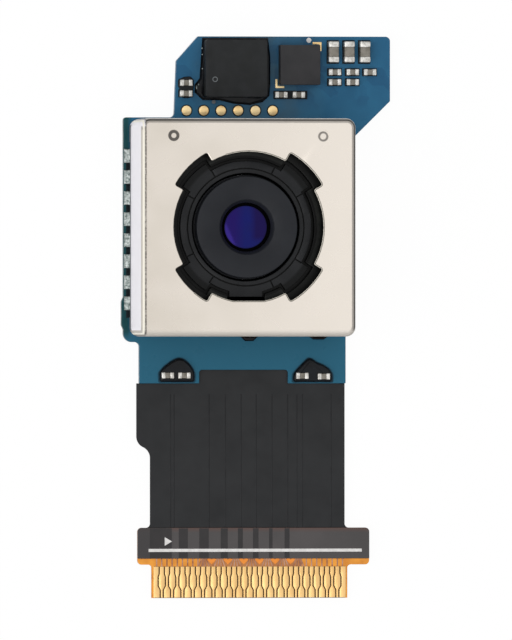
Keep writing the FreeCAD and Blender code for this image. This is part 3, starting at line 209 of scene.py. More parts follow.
@dataclass(frozen=True)
class Layer:
    """Colour laid over a finish between levels, given as an axis with its start and end.

    The axis is x, y or z, side for the distance from the middle plane, or reach for the
    distance from the optical axis. Where there are two, the layer shows where both do.
    """

    colour: str
    spans: tuple[tuple[str, float, float], ...]
    share: float = 1.0

    def laid(self, brush: Brush, below: Socket) -> Socket:
        """The colour below with the layer on it."""
        share = self.share
        for axis, start, end in self.spans:
            share = brush.times(brush.ramp(getattr(brush, axis), start, end), share)
        return brush.over(share, below, self.colour)


@dataclass(frozen=True)
class Finish:
    """A surface with cloudy colour, layers over it, uneven gloss and a fine grain.

    Lengths are millimetres on the object, and colours are sRGB hex.
    """

    name: str
    colour: str
    cloud: str
    cloud_size: float = 1.0
    rough: float = 0.5
    rough_change: float = 0.08
    grain: float = 0.12
    grain_depth: float = 0.002
    metallic: float = 0.0
    specular: float = 0.5
    ior: float = 1.5
    clear: float = 0.0
    stretch: Triple = (1.0, 1.0, 1.0)
    layers: tuple[Layer, ...] = ()

    def tint(self, brush: Brush) -> Socket:
        """Colour over the surface: the main colour, clouded by the second, then the layers."""
        colour = brush.clouds(self.cloud_size, self.colour, self.cloud)
        for layer in self.layers:
            colour = layer.laid(brush, colour)
        return colour

    def gloss(self, brush: Brush) -> Socket:
        """Roughness over the surface."""
        wave = brush.noise(self.cloud_size * 0.6)
        return brush.scale(wave, 0.3, 0.7, self.rough - self.rough_change,
                           self.rough + self.rough_change)

    def metal(self, brush: Brush) -> float | Socket:
        """How metallic the surface is."""
        return self.metallic

    def make(self) -> bpy.types.Material:
        """Build the material, once for each finish.

        Returns:
            The material, named for the finish.
        """
        known = bpy.data.materials.get(self.name)
        if known:
            return known
        material = bpy.data.materials.new(self.name)
        nodes = nodes_of(material)
        here = nodes.add("TexCoord").outputs["Object"]
        where = nodes.add("Mapping", {"Vector": here, "Scale": self.stretch}).outputs[0]
        brush = Brush(nodes.tree, where)
        relief = brush.add("Bump", {"Height": brush.noise(self.grain, 3.0), "Strength": 0.6,
                                    "Distance": self.grain_depth * MM})
        shader = brush.add("BsdfPrincipled", {
            "Base Color": self.tint(brush), "Roughness": self.gloss(brush),
            "Normal": relief.outputs[0], "Metallic": self.metal(brush), "IOR": self.ior,
            "Specular IOR Level": self.specular, "Transmission Weight": self.clear})
        brush.add("OutputMaterial", {"Surface": shader.outputs[0]})
        return material


@dataclass(frozen=True)
class NickelSilverSheet(Finish):
    """Drawn nickel silver, tumbled satin: a flat warm white, with painted light and shade along its
    bend and west wall.
    """

    # Colours of painted light and shade on the rim: a white reflection on the west wall, a cream
    # highlight, dark reflection lines, grey shade and a pale outer reflection line
    white_reflection: str = "f2f0f5"
    cream_highlight: str = "f4f0e2"
    dark_reflection: str = "3b3834"
    # Painted shadow at the foot of the west wall
    foot: str = "39404a"
    grey_shade: str = "bab5ad"
    pale_reflection: str = "d6d3cf"
    ring: str = "5f5b57"
    straight: float = 4.74
    corner: float = 0.46
    bend_start: Span = (4.6, 4.74)
    bend_end: Span = (-4.98, -4.8)
    # Painted reflection and highlight lines on the bend: inset or x, half width and share
    soft_reflection_line: Line = (0.12, 0.10, 0.45)
    dark_reflection_line: Line = (0.085, 0.04, 1.0)
    dotted_reflection_line: Line = (-4.955, 0.04, 0.9)
    cream_highlight_line: Line = (-5.055, 0.04, 1.0)
    grey_shade_line: Line = (-5.145, 0.03, 0.8)
    knee_west: Span = (-4.92, -4.97)
    knee_north: Span = (4.7, 4.85)
    west_wall: Span = (-5.16, -5.175)
    foot_shadow_top: Span = (1.3, 1.15)
    dull_metal: float = 0.1
    dimples: tuple[tuple[float, float, float, float], ...] = (
        (-3.61, 4.37, 1.0, 0.075), (3.59, 4.33, 0.8, 0.05))
    ring_radius: float = 0.195

    def tint(self, brush: Brush) -> Socket:
        """Colour the dimples and the rim."""
        plain = super().tint(brush)
        for x, y, share, half in self.dimples:
            away = brush.vector("DISTANCE", brush.flat(), (x * MM, y * MM, 0)).outputs["Value"]
            plain = brush.over(brush.line(away, self.ring_radius, half, share), plain, self.ring)
        return self.rim(brush, plain)

    def rim(self, brush: Brush, plain: Socket) -> Socket:
        """Paint light and shade on the bend: dark reflection lines and a pale outer line north and
        east, grey shade south, and west a cream highlight, a dotted dark line, a grey line and a white
        wall with shadow at its foot.
        """
        x, y, out, edge = brush.x, brush.y, self.outward(brush), self.corner
        turned = brush.math("MAXIMUM", brush.ramp(y, *self.bend_start), brush.ramp(x, *self.bend_start))
        turned = brush.times(turned, brush.ramp(y, *self.bend_end))
        layers = [(brush.times(brush.ramp(y, -self.straight, -self.straight - 0.1),
                               brush.ramp(out, edge - 0.30, edge)), self.grey_shade)]
        for inward, half, share in (self.soft_reflection_line, self.dark_reflection_line):
            layers.append((brush.times(turned, brush.line(out, edge - inward, half, share)), self.dark_reflection))
        layers.append((brush.times(turned, brush.ramp(out, edge - 0.045, edge - 0.03)), self.pale_reflection))
        knee = brush.times(brush.ramp(x, *self.knee_west), brush.ramp(y, *self.knee_north))
        dots = brush.scale(brush.noise(0.08, 1.0), 0.36, 0.58, 0.5, 1.0)
        # West wall: painted white reflection, with painted shadow at its foot
        side = brush.over(brush.ramp(brush.z, *self.foot_shadow_top, 0.0, 0.85), self.white_reflection, self.foot)
        layers += [
            (knee, self.white_reflection),
            (brush.times(dots, brush.line(x, *self.dotted_reflection_line)), self.dark_reflection),
            (brush.line(x, *self.cream_highlight_line), self.cream_highlight),
            (brush.times(brush.line(x, *self.grey_shade_line), brush.scale(knee, 0.0, 1.0, 1.0, 0.0)),
             self.grey_shade),
            (brush.ramp(x, *self.west_wall), side),
        ]
        for share, colour in layers:
            plain = brush.over(share, plain, colour)
        return plain

    def gloss(self, brush: Brush) -> Socket:
        """Rougher on the rim, where the metal turns nonmetal to show its painted light and shade."""
        tin = brush.scale(self.metal(brush), self.dull_metal, 1.0, 0.35, 0.0)
        return brush.math("ADD", super().gloss(brush), tin)

    def metal(self, brush: Brush) -> Socket:
        """Metal on the flat top, and nearly nonmetal on the rim and the west side, where light and
        shade are painted.
        """
        top = brush.ramp(self.outward(brush), self.corner - 0.26, self.corner - 0.18, 1.0,
                         self.dull_metal)
        return brush.math("MINIMUM", top, brush.ramp(brush.x, -4.92, -4.86, self.dull_metal, 1.0))

    def outward(self, brush: Brush) -> Socket:
        """How far a place is beyond the straight part of the can's sides, round its corners."""
        straight = self.straight * MM
        away = brush.vector("ABSOLUTE", brush.flat()).outputs[0]
        away = brush.vector("SUBTRACT", away, (straight, straight, 0)).outputs[0]
        away = brush.vector("MAXIMUM", away, (0, 0, 0)).outputs[0]
        return brush.vector("LENGTH", away).outputs["Value"]


@dataclass(frozen=True)
class BlueSolderMask(Finish):
    """Blue solder mask, screened and cured over copper: deep blue, a little cloudy and glossy."""

    pour: str = "15365e"
    stained: str = "46565c"
    south_side: Span = (-5.4, -5.0)
    north_side: Span = (5.6, 6.2)
    stain_middle: float = 1.0
    stain_half: Span = (3.4, 1.2)
    stain_size: float = 1.1
    pour_size: float = 0.9
    pour_share: float = 0.22

    def tint(self, brush: Brush) -> Socket:
        """Stain it under and north of the can, and darken it where the copper is left out."""
        stain = brush.ramp(brush.off(brush.x, self.stain_middle), *self.stain_half, 0.0, 0.5)
        stain = brush.times(stain, brush.scale(brush.noise(self.stain_size), 0.4, 0.6, 0.5, 1.0))
        stain = brush.times(stain, brush.ramp(brush.y, *self.south_side))
        plain = brush.over(stain, super().tint(brush), self.stained)
        cells = brush.add("TexVoronoi", {"Vector": brush.where, "Scale": 1 / (self.pour_size * MM)},
                          distance="CHEBYCHEV").outputs["Color"]
        chosen = brush.scale(brush.add("SeparateColor", {0: cells}).outputs[0], 0.72, 0.78)
        share = brush.times(chosen, brush.ramp(brush.y, *self.north_side))
        return brush.over(brush.times(share, self.pour_share), plain, self.pour)


@dataclass(frozen=True)
class BlackCoverlay(Finish):
    """Black film over the tail's conductors: matt, with bare amber polyimide past the head."""

    bare: str = "ea9c38"
    bare_cloud: str = "d2852e"
    under: str = "4a3512"
    bare_south: float = -15.86
    under_south: float = -16.27
    half_wide: float = 4.62
    middle: float = 0.635

    def tint(self, brush: Brush) -> Socket:
        """Show bare polyimide south of the head's cover, darker between the contacts."""
        low = brush.below(brush.y, self.under_south, 0.03)
        inner = brush.below(brush.off(brush.x, self.middle), self.half_wide, 0.01)
        amber = brush.over(brush.times(low, inner), brush.clouds(0.5, self.bare, self.bare_cloud),
                           self.under)
        return brush.over(brush.below(brush.y, self.bare_south, 0.01), super().tint(brush), amber)


# The finish of each material slot in the record: name, two colours, cloud size, roughness, more
FINISHES: dict[str, Finish] = {
    # Nickel silver can: its layer lightens the top eastward, painted light
    "can_metal": NickelSilverSheet(
        "nickel_silver_sheet", "d9d1c7", "d2cabf", 2.6, 0.26, rough_change=0.04,
        grain=0.10, grain_depth=0.0008, metallic=1.0, layers=(Layer("e4dcd2", (("x", -4.8, 4.4),)),)),
    "solder_mask": BlueSolderMask(
        "blue_solder_mask", "2a6486", "265c7e", 1.3, 0.34, grain=0.30,
        grain_depth=0.003, specular=0.12, layers=(
            Layer("154449", (("x", -5.0, -5.3),)), Layer("255e76", (("y", -5.0, -5.4),)))),
    "flex_film": BlackCoverlay(
        "black_coverlay", "1f2022", "1b1c1e", 1.6, 0.55, grain=0.09,
        grain_depth=0.0016, specular=0.28),
    # Grey-black film on the head, over copper that warms its north edge
    "cover_film": Finish(
        "head_film", "474343", "3e3b3b", 2.4, 0.42, grain=0.10,
        grain_depth=0.0012, specular=0.4, layers=(
            Layer("55382f", (("y", -14.64, -14.42),), 0.7),
            Layer("2e2b2c", (("x", -3.0, -3.4),), 0.8))),
    # Clear amber polyimide, rolled: warm brown with a plastic gloss
    "amber_film": Finish(
        "amber_polyimide", "a9651c", "965614", 1.5, 0.3, grain_depth=0.001),
    # Immersion gold over nickel: pale satin gold
    "gold": Finish(
        "gold_plating", "f2ca8a", "ecc181", 0.9, 0.42, grain=0.06,
        grain_depth=0.0012, metallic=1.0),
    # Silica-filled epoxy, moulded in a sparked tool: near black with a fine even grain
    "chip_mould": Finish(
        "moulded_epoxy", "1d1f21", "191b1c", 0.8, 0.6, grain=0.07,
        grain_depth=0.004, specular=0.25),
    # Black epoxy that flowed and cured: smooth, wet-looking and a little wavy
    "resin": Finish(
        "cured_resin", "06070a", "0b1016", 0.5, 0.18, rough_change=0.06,
        grain=0.35, grain_depth=0.02, specular=0.2),
    # Fired capacitor ceramic: grey brown, matt and fine
    "ceramic": Finish(
        "fired_ceramic", "827d74", "6f6a60", 0.25, 0.55, grain=0.06,
        grain_depth=0.003),
    # Matt tin, wetted by solder: blotchy silver
    "tin": Finish(
        "tin_plating", "e6e4df", "b3b1ab", 0.16, 0.36, rough_change=0.10,
        grain=0.14, grain_depth=0.008, metallic=0.6),
    # Reflowed solder: bright, uneven and slightly grey
    "solder": Finish(
        "solder_alloy", "c3cac7", "5d6a67", 0.12, 0.38, rough_change=0.12,
        grain=0.16, grain_depth=0.03, metallic=0.3),
    # Cold-rolled stainless sheet: grey with faint lines along the roll
    "steel": Finish(
        "rolled_steel", "b9b9ba", "a8a8aa", rough=0.38, grain=0.05, grain_depth=0.001,
        metallic=1.0, stretch=(1.0, 0.06, 1.0)),
    # Silicon die with its colour filters: dark green grey and mirror smooth
    "silicon": Finish("polished_silicon", "2a3833", "26302f", rough=0.12, grain_depth=0.0003),
    # Infrared-cut glass: a pale blue-green plate
    "filter_glass": Finish(
        "infrared_cut_glass", "b4d4d6", "a9ccd2", rough=0.08, rough_change=0.03,
        grain_depth=0.0002, ior=1.52, clear=0.9),
    # Glass-filled liquid crystal polymer, moulded: black, dull, with short flow marks
    "housing_polymer": Finish(
        "liquid_crystal_polymer", "1c1d1f", "242527", rough=0.55, grain_depth=0.003,
        specular=0.35, stretch=(1.0, 0.4, 1.0)),
    # The same from a polished tool: satin; painted shade makes it deep black on the arms, in the seams
    # and on all below its top, but not on the tab
    "holder_polymer": Finish(
        "satin_holder_polymer", "252628", "202123", 0.9, 0.30,
        rough_change=0.06, grain=0.14, grain_depth=0.0015, specular=0.14, layers=(
            Layer("050606", (("reach", 3.22, 3.34), ("side", 0.95, 1.0)), 0.85),
            Layer("010101", (("z", 3.842, 3.82),)))),
    # Black polycarbonate with a finely blasted front: matt charcoal
    "barrel_polymer": Finish(
        "blasted_polycarbonate", "1f2126", "1b1d22", 1.4, grain=0.06, specular=0.2),
    # Enamelled copper wire wound flat: fine turns that run round the coil
    "copper": Finish(
        "copper_winding", "b8713f", "8f4f27", 0.12, 0.35, grain=0.05,
        grain_depth=0.01, metallic=0.8),
    # Sintered magnet with bright nickel plating
    "magnet": Finish(
        "nickel_magnet", "c9c6bf", "b8b5ae", rough=0.24, grain=0.15, grain_depth=0.003,
        metallic=1.0),
    # Lapped zirconia: white and smooth
    "ball_ceramic": Finish(
        "zirconia_ball", "ece8df", "e3ded2", 0.3, 0.12, rough_change=0.03,
        grain_depth=0.0002, specular=0.6),
    # Moulded cyclic polymer: clear with a slight blue cast from its coating
    "lens_polymer": Finish(
        "clear_cyclic_polymer", "dfe6f2", "d7dff0", rough=0.06, rough_change=0.02,
        grain_depth=0.0002, ior=1.54, clear=0.9),
}

# Thin dark line painted on the opening's lip, on its north, east and south sides: painted shade
LIP_SHADE_LINE = Finish(
    "lip_shade_line", "57524b", "6b665e", 0.4, grain_depth=0.001, specular=0.3)
# Cream line painted just below it on the lip: painted highlight
LIP_HIGHLIGHT_LINE = replace(LIP_SHADE_LINE, name="lip_highlight_line", colour="e9e3d6", cloud="d8d2c4")
# Dark lines along the conductors under the black film: painted shade where the film sinks between them
FILM_GROOVE_SHADE = Finish(
    "film_groove_shade", "0f1013", "151619", 0.8, grain_depth=0.001, specular=0.3)
# Gaps between the wide conductors under the head's film, where it sinks and darkens
DARK_BAND = Finish(
    "dark_band", "292627", "232122", 0.8, 0.45, grain_depth=0.001, specular=0.35)
# Openings in the solder mask round the pads, and painted shadow round the capacitors, between the can's
# solder joints and by the gyro's capacitors: nearly black, with a low gloss
PAD_WINDOW_AND_SHADOW = Finish("pad_window_and_shadow", "0a1014", "131d22", 0.2, 0.4, specular=0.15)
# Copper lands seen through clear polyimide: bright orange
BARE_COPPER = Finish(
    "bare_copper", "ef8f2a", "e08322", 0.3, 0.4, grain_depth=0.001, specular=0.4)
# Copper that fans out below the polyimide: a browner orange
COPPER_SHADE = replace(BARE_COPPER, name="copper_shade", colour="b8773c", cloud="a86a36")
# Gaps between the covered conductors, which look brown and pink through the film
COPPER_LINES = replace(
    BARE_COPPER, name="copper_lines", colour="8a5438", cloud="bd917a", cloud_size=0.35)
# The same gold on the board, thinner over the nickel: paler
PALE_GOLD = replace(FINISHES["gold"], name="pale_gold", colour="fbe4b2", cloud="f0cd92")
# The gyro's epoxy, with less soot in it: a warmer, paler black
GREY_EPOXY = replace(FINISHES["chip_mould"], name="grey_epoxy", colour="302f31", cloud="2b2b2d")
# Thin edge where the resin wetted the mask: the mask shows through it
RESIN_HALO = Finish(
    "resin_halo", "163646", "1b4254", 0.3, 0.3, grain_depth=0.001, specular=0.12)
# Front lens with its many-layer coating: a dark blue mirror; the violet westward, the indigo southeast
# and the black rim are painted reflection
COATED_LENS = Finish(
    "coated_front_lens", "11175f", "141857", 0.9, 0.1, rough_change=0.02,
    grain_depth=0.0002, metallic=0.85, layers=(
        Layer("1d0f59", (("x", -0.05, -0.55),)),
        Layer("160c46", (("x", 0.2, 0.5), ("y", -0.75, -0.45))),
        Layer("05050c", (("reach", 0.96, 1.06),))))
# Filled polymer of the stopper frame: low satin gloss; painted shade darkens its lobes by the can's
# opening and blackens its inner edge by the gap round the holder
STOPPER_BLACK = Finish(
    "stopper_polymer", "222321", "1a1b1a", 0.7, 0.28, rough_change=0.06,
    grain=0.14, grain_depth=0.0015, specular=0.12, layers=(
        Layer("020202", (("reach", 3.58, 3.64),), 0.6),
        Layer("020202", (("reach", 3.46, 3.40),))))
# Stray-light paint on the stop and the bore behind the cone: as black as paint gets, dead matt
STOP_PAINT = Finish("stop_paint", "030304", "050506", rough=0.8, grain_depth=0.001, specular=0.02)
# Screened white ink: flat white, thin at its edges
WHITE_INK = Finish("white_ink", "dedcda", "cfcdcb", 0.15, 0.6, grain=0.05)
# Lasered mark on moulded epoxy: a dull grey
GREY_INK = Finish("grey_ink", "6c7174", "585c5f", 0.1, 0.65, grain_depth=0.001)


# Pieces

def stand(name: str, data: bpy.types.ID) -> bpy.types.Object:
    """Put a mesh, lamp or camera in the scene."""
    item = bpy.data.objects.new(name, data)
    bpy.context.scene.collection.objects.link(item)
    return item


def mesh_data(name: str, mesh: Mesh) -> bpy.types.Mesh:
    """Turn a bmesh into mesh data, and free it."""
    data = bpy.data.meshes.new(name)
    mesh.to_mesh(data)
    mesh.free()
    return data


def merge(mesh: Mesh, near: float = 1e-7) -> None:
    """Merge points that lie on one another; the limit is in metres."""
    bmesh.ops.remove_doubles(mesh, verts=mesh.verts[:], dist=near)


def solid_of(node: str) -> Mesh:
    """Copy of a CAD node's mesh, merged and with its flat faces joined."""
    mesh = bmesh.new()
    mesh.from_mesh(frame["nodes"][node].data)
    merge(mesh)
    bmesh.ops.dissolve_limit(mesh, angle_limit=math.radians(1), verts=mesh.verts[:],
                             edges=mesh.edges[:])
    return mesh


def soften(mesh: Mesh, chosen: Callable[[Edge], bool], width: float,
           steps: int = 3, least: float = 20.0) -> None:
    """Round chosen edges of a mesh.

    Args:
        mesh: Mesh whose edges are rounded.
        chosen: Says which of its creased edges are.
        width: Width of the rounding on each side, in millimetres.
        steps: Faces across it.
        least: Angle in degrees from which an edge counts as a crease.
    """
    limit = math.radians(least)
    lines = [line for line in mesh.edges
             if len(line.link_faces) == 2 and line.calc_face_angle(0.0) > limit and chosen(line)]
    bmesh.ops.bevel(mesh, geom=lines, offset=width * MM, offset_type="OFFSET", segments=steps,
                    affect="EDGES", profile=0.5, material=-1, clamp_overlap=False)


def narrow(mesh: Mesh, half: Span, ends: Span, split: float) -> None:
    """Move the two walls of a tab or notch at the south side.

    Args:
        mesh: Mesh that has it.
        half: Its half width, first as it is and then as it becomes, in millimetres.
        ends: Where its walls then end, nearer to the optical axis and farther.
        split: A level between its two ends as they are.
    """
    for vert in mesh.verts:
        if abs(abs(vert.co.x) / MM - half[0]) < 0.005 and vert.co.y < (split + 0.3) * MM:
            vert.co.x = math.copysign(half[1] * MM, vert.co.x)
            vert.co.y = ends[0 if vert.co.y > split * MM else 1] * MM


def middle(line: Edge) -> Vector:
    """Middle of an edge in millimetres."""
    return (line.verts[0].co + line.verts[1].co) / (2 * MM)


def upright(line: Edge) -> bool:
    """Whether an edge stands upright."""
    run = line.verts[0].co - line.verts[1].co
    return abs(run.z) > 10 * math.hypot(run.x, run.y)


def level(line: Edge, height: float) -> bool:
    """Whether an edge lies at a height in millimetres."""
    return all(abs(vert.co.z / MM - height) < 0.004 for vert in line.verts)


def bar(mesh: Mesh, low: Sequence[float], high: Sequence[float]) -> None:
    """Add a block between two corners, in millimetres."""
    verts = bmesh.ops.create_cube(mesh, size=1.0)["verts"]
    bmesh.ops.scale(mesh, verts=verts, vec=[(end - start) * MM for start, end in zip(low, high)])
    bmesh.ops.translate(mesh, verts=verts,
                        vec=[(end + start) / 2 * MM for start, end in zip(low, high)])


def plate(mesh: Mesh, corners: Sequence[Point], low: float, high: float) -> None:
    """Raise a flat outline between two heights, in millimetres."""
    face = mesh.faces.new([mesh.verts.new((x * MM, y * MM, low * MM)) for x, y in corners])
    top = bmesh.ops.extrude_face_region(mesh, geom=[face])["geom"]
    lifted = [item for item in top if isinstance(item, bmesh.types.BMVert)]
    bmesh.ops.translate(mesh, verts=lifted, vec=(0, 0, (high - low) * MM))


def dot(mesh: Mesh, x: float, y: float, radius: float, low: float, high: float) -> None:
    """Add a small round disc, in millimetres."""
    spot = Matrix.Translation((x * MM, y * MM, (low + high) / 2 * MM))
    bmesh.ops.create_cone(mesh, cap_ends=True, segments=20, radius1=radius * MM,
                          radius2=radius * MM, depth=(high - low) * MM, matrix=spot)


def hoop(mesh: Mesh, centre: Point, inner: float, outer: float, low: float,
         high: float) -> None:
    """Add a flat ring, in millimetres."""
    x, y = centre
    corners = [mesh.verts.new(((x + radius) * MM, y * MM, height * MM))
               for radius, height in ((inner, low), (outer, low), (outer, high), (inner, high))]
    face = mesh.faces.new(corners)
    bmesh.ops.spin(mesh, geom=[face], cent=(x * MM, y * MM, 0), axis=(0, 0, 1), angle=math.tau,
                   steps=32, use_merge=True)
    merge(mesh)
    inside = [item for item in mesh.faces if len(item.verts) == 4
              and all(abs(vert.co.y - y * MM) < 1e-8 for vert in item.verts)]
    bmesh.ops.delete(mesh, geom=inside, context="FACES_ONLY")


def turned(profile: Sequence[Point], steps: int = 96) -> Mesh:
    """Turn a radius-and-height profile round the optical axis.

    Args:
        profile: Points in millimetres.
        steps: Faces round the axis.

    Returns:
        The closed shape.
    """
    mesh = bmesh.new()
    verts = [mesh.verts.new((radius * MM, 0, height * MM)) for radius, height in profile]
    edges = [mesh.edges.new(pair) for pair in zip(verts, verts[1:])]
    bmesh.ops.spin(mesh, geom=verts + edges, cent=(0, 0, 0), axis=(0, 0, 1),
                   angle=math.tau, steps=steps, use_merge=True)
    merge(mesh)
    return mesh


def islands(node: str) -> list[tuple[Vector, Vector]]:
    """Lowest and highest corner in millimetres of each separate solid of a CAD node."""
    mesh = solid_of(node)
    left = set(mesh.verts)
    found = []
    while left:
        group, edge = set(), [left.pop()]
        while edge:
            vert = edge.pop()
            group.add(vert)
            near = {line.other_vert(vert) for line in vert.link_edges} & left
            left -= near
            edge.extend(near)
        spots = [vert.co / MM for vert in group]
        found.append(tuple(Vector([pick(spot[axis] for spot in spots) for axis in range(3)])
                           for pick in (min, max)))
    mesh.free()
    return sorted(found, key=lambda pair: tuple(pair[0]))


def top_of(node: str) -> float:
    """Height of a CAD node's top in millimetres."""
    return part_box(node)[1].z / MM


@dataclass
class Builder:
    """Turns a bmesh into a finished piece of the module."""

    body: Body = Body.MODULE
    sharp: float = 35.0

    def part(self, name: str, mesh: Mesh, slot: str, nodes: Iterable[str] = (),
             edge: float = 0.0, steps: int = 2, finish: Finish | None = None) -> bpy.types.Object:
        """Make the object, give it its finish and hide the CAD nodes that it replaces.

        Args:
            name: Name of the piece.
            mesh: Its shape in metres; it is freed here.
            slot: The record's material slot whose finish it takes where no finish is given.
            nodes: CAD nodes that it replaces.
            edge: Width in millimetres of its rounded edges, or 0 for none.
            steps: Faces across each rounded edge.
            finish: Its surface, where it isn't its slot's.

        Returns:
            The new object.
        """
        bmesh.ops.recalc_face_normals(mesh, faces=mesh.faces[:])
        limit = math.radians(self.sharp)
        for face in mesh.faces:
            face.smooth = True
        for line in mesh.edges:
            line.smooth = len(line.link_faces) == 2 and line.calc_face_angle(0.0) < limit
        data = mesh_data(name, mesh)
        data.materials.append((finish or FINISHES[slot]).make())
        piece = stand(name, data)
        if edge:
            for line in data.edges:
                line.use_edge_sharp = False
            bevel = piece.modifiers.new("rounded edges", "BEVEL")
            bevel.width = edge * MM
            bevel.segments = steps
            bevel.limit_method = "ANGLE"
            bevel.angle_limit = limit
        weights = piece.modifiers.new("flat faces", "WEIGHTED_NORMAL")
        weights.keep_sharp = not edge
        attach(piece, self.body.value)
        if nodes:
            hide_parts(*nodes)
        LOG.info("%s: %d faces", name, len(data.polygons))
        return piece

    def dressed(self, name: str, node: str, slot: str, edge: float, steps: int = 2,
                finish: Finish | None = None) -> None:
        """Copy a CAD node, merge its loose triangles and round its edges."""
        self.part(name, solid_of(node), slot, [node], edge, steps, finish)

    def discs(self, name: str, spots: Iterable[Triple], span: Span, slot: str,
              finish: Finish | None = None) -> None:
        """Add round discs, each a place and a radius, as one piece between two heights."""
        mesh = bmesh.new()
        for x, y, radius in spots:
            dot(mesh, x, y, radius, *span)
        self.part(name, mesh, slot, finish=finish)

    def bars(self, name: str, boxes: Iterable[tuple[Triple, Triple]], slot: str, finish: Finish,
             edge: float = 0.0) -> None:
        """Add blocks, each with its lowest and highest corner, as one piece."""
        mesh = bmesh.new()
        for low, high in boxes:
            bar(mesh, low, high)
        self.part(name, mesh, slot, edge=edge, finish=finish)


@dataclass
class ShieldCan(Builder):
    """Drawn can over the actuator, with the solder along its west side."""

    bend: float = 0.18
    bend_round: float = 0.12
    top_round: float = 0.06
    lip_round: float = 0.065
    lobe_round: float = 0.09
    lobe_side: float = 0.47
    seam_long: float = 0.6
    # West ends of the lip's painted shade and painted highlight, north and south
    lip_paint_north_from: float = -1.2
    lip_paint_south_from: float = -2.7
    flat_half: float = 1.0
    flat_south: float = 3.52
    opening: float = 4.8
    solder_high: float = 0.13

    def build(self) -> None:
        """Dress the can, its solder joints and the adhesive at its south side."""
        self.shell()
        self.joints()
        self.dressed("can_adhesive", "adhesive_beads", "resin", 0.05, 3)

    def shell(self) -> None:
        """Flatten the opening's south side, round the can's bend and the opening's lip, and paint a
        dark line and a highlight on the lip.
        """
        top = top_of("shield_can")
        mesh = solid_of("shield_can")
        for vert in mesh.verts:
            if self.at_opening(vert) and abs(vert.co.x) < self.flat_half * MM and vert.co.y < 0:
                vert.co.y = max(vert.co.y, -self.flat_south * MM)
        self.move_seams(mesh, top)
        soften(mesh, lambda line: level(line, top - self.bend), self.bend_round, 4)
        soften(mesh, lambda line: level(line, top) and self.outside(line), self.top_round, 4)
        soften(mesh, lambda line: upright(line) and self.inside(line), self.lobe_round, 4, 40)
        soften(mesh, lambda line: level(line, top) and self.inside(line), self.lip_round, 3, 60)
        shell = self.part("can_shell", mesh, "can_metal", ["shield_can"])
        shell.data.materials.append(LIP_SHADE_LINE.make())
        shell.data.materials.append(LIP_HIGHLIGHT_LINE.make())
        # Lip faces east of these limits: a painted shade line on top, and a painted highlight just
        # below it
        for face in shell.data.polygons:
            spot = face.center / MM
            west = self.lip_paint_south_from if spot.y < 0 else self.lip_paint_north_from
            if spot.xy.length < self.opening and spot.x > west:
                depth = top - spot.z
                face.material_index = 1 if 0.001 < depth < 0.007 else 2 if 0.007 < depth < 0.034 else 0

    def move_seams(self, mesh: Mesh, top: float) -> None:
        """Move the flat top's own seams off the lobes' corners, where rounding would crease them."""
        ends = [line for line in mesh.edges
                if level(line, top) and line.calc_length() > self.seam_long * MM
                and any(self.at_corner(vert) for vert in line.verts)]
        for line in ends:
            corner = next(vert for vert in line.verts if self.at_corner(vert))
            far = line.other_vert(corner)
            for face in line.link_faces:
                near = [edge.other_vert(corner) for edge in corner.link_edges
                        if edge in face.edges and edge is not line]
                if near and not self.at_corner(near[0]):
                    bmesh.utils.face_split(face, near[0], far)
                    bmesh.ops.dissolve_edges(mesh, edges=[line], use_verts=False)
                    break

    def at_corner(self, vert: bmesh.types.BMVert) -> bool:
        """Whether a point of the opening's edge is an outer or inner corner of a lobe."""
        sides = [line for line in vert.link_edges
                 if abs(line.calc_length() - self.lobe_side * MM) < 0.01 * MM]
        return bool(sides) and self.at_opening(vert)

    def at_opening(self, vert: bmesh.types.BMVert) -> bool:
        """Whether a point is at the opening."""
        return vert.co.xy.length < self.opening * MM

    def outside(self, line: Edge) -> bool:
        """Whether an edge of the top is at the outer bend."""
        spot = middle(line)
        return max(abs(spot.x), abs(spot.y)) > self.opening

    def inside(self, line: Edge) -> bool:
        """Whether an edge of the top is at the opening."""
        return all(self.at_opening(vert) for vert in line.verts)

    def joints(self) -> None:
        """Round the solder joints."""
        mesh = solid_of("terminal_joints")
        low = top_of("terminal_joints") - self.solder_high
        soften(mesh, lambda line: middle(line).z > low, 0.05, 3)
        self.part("can_solder", mesh, "solder", ["terminal_joints"])


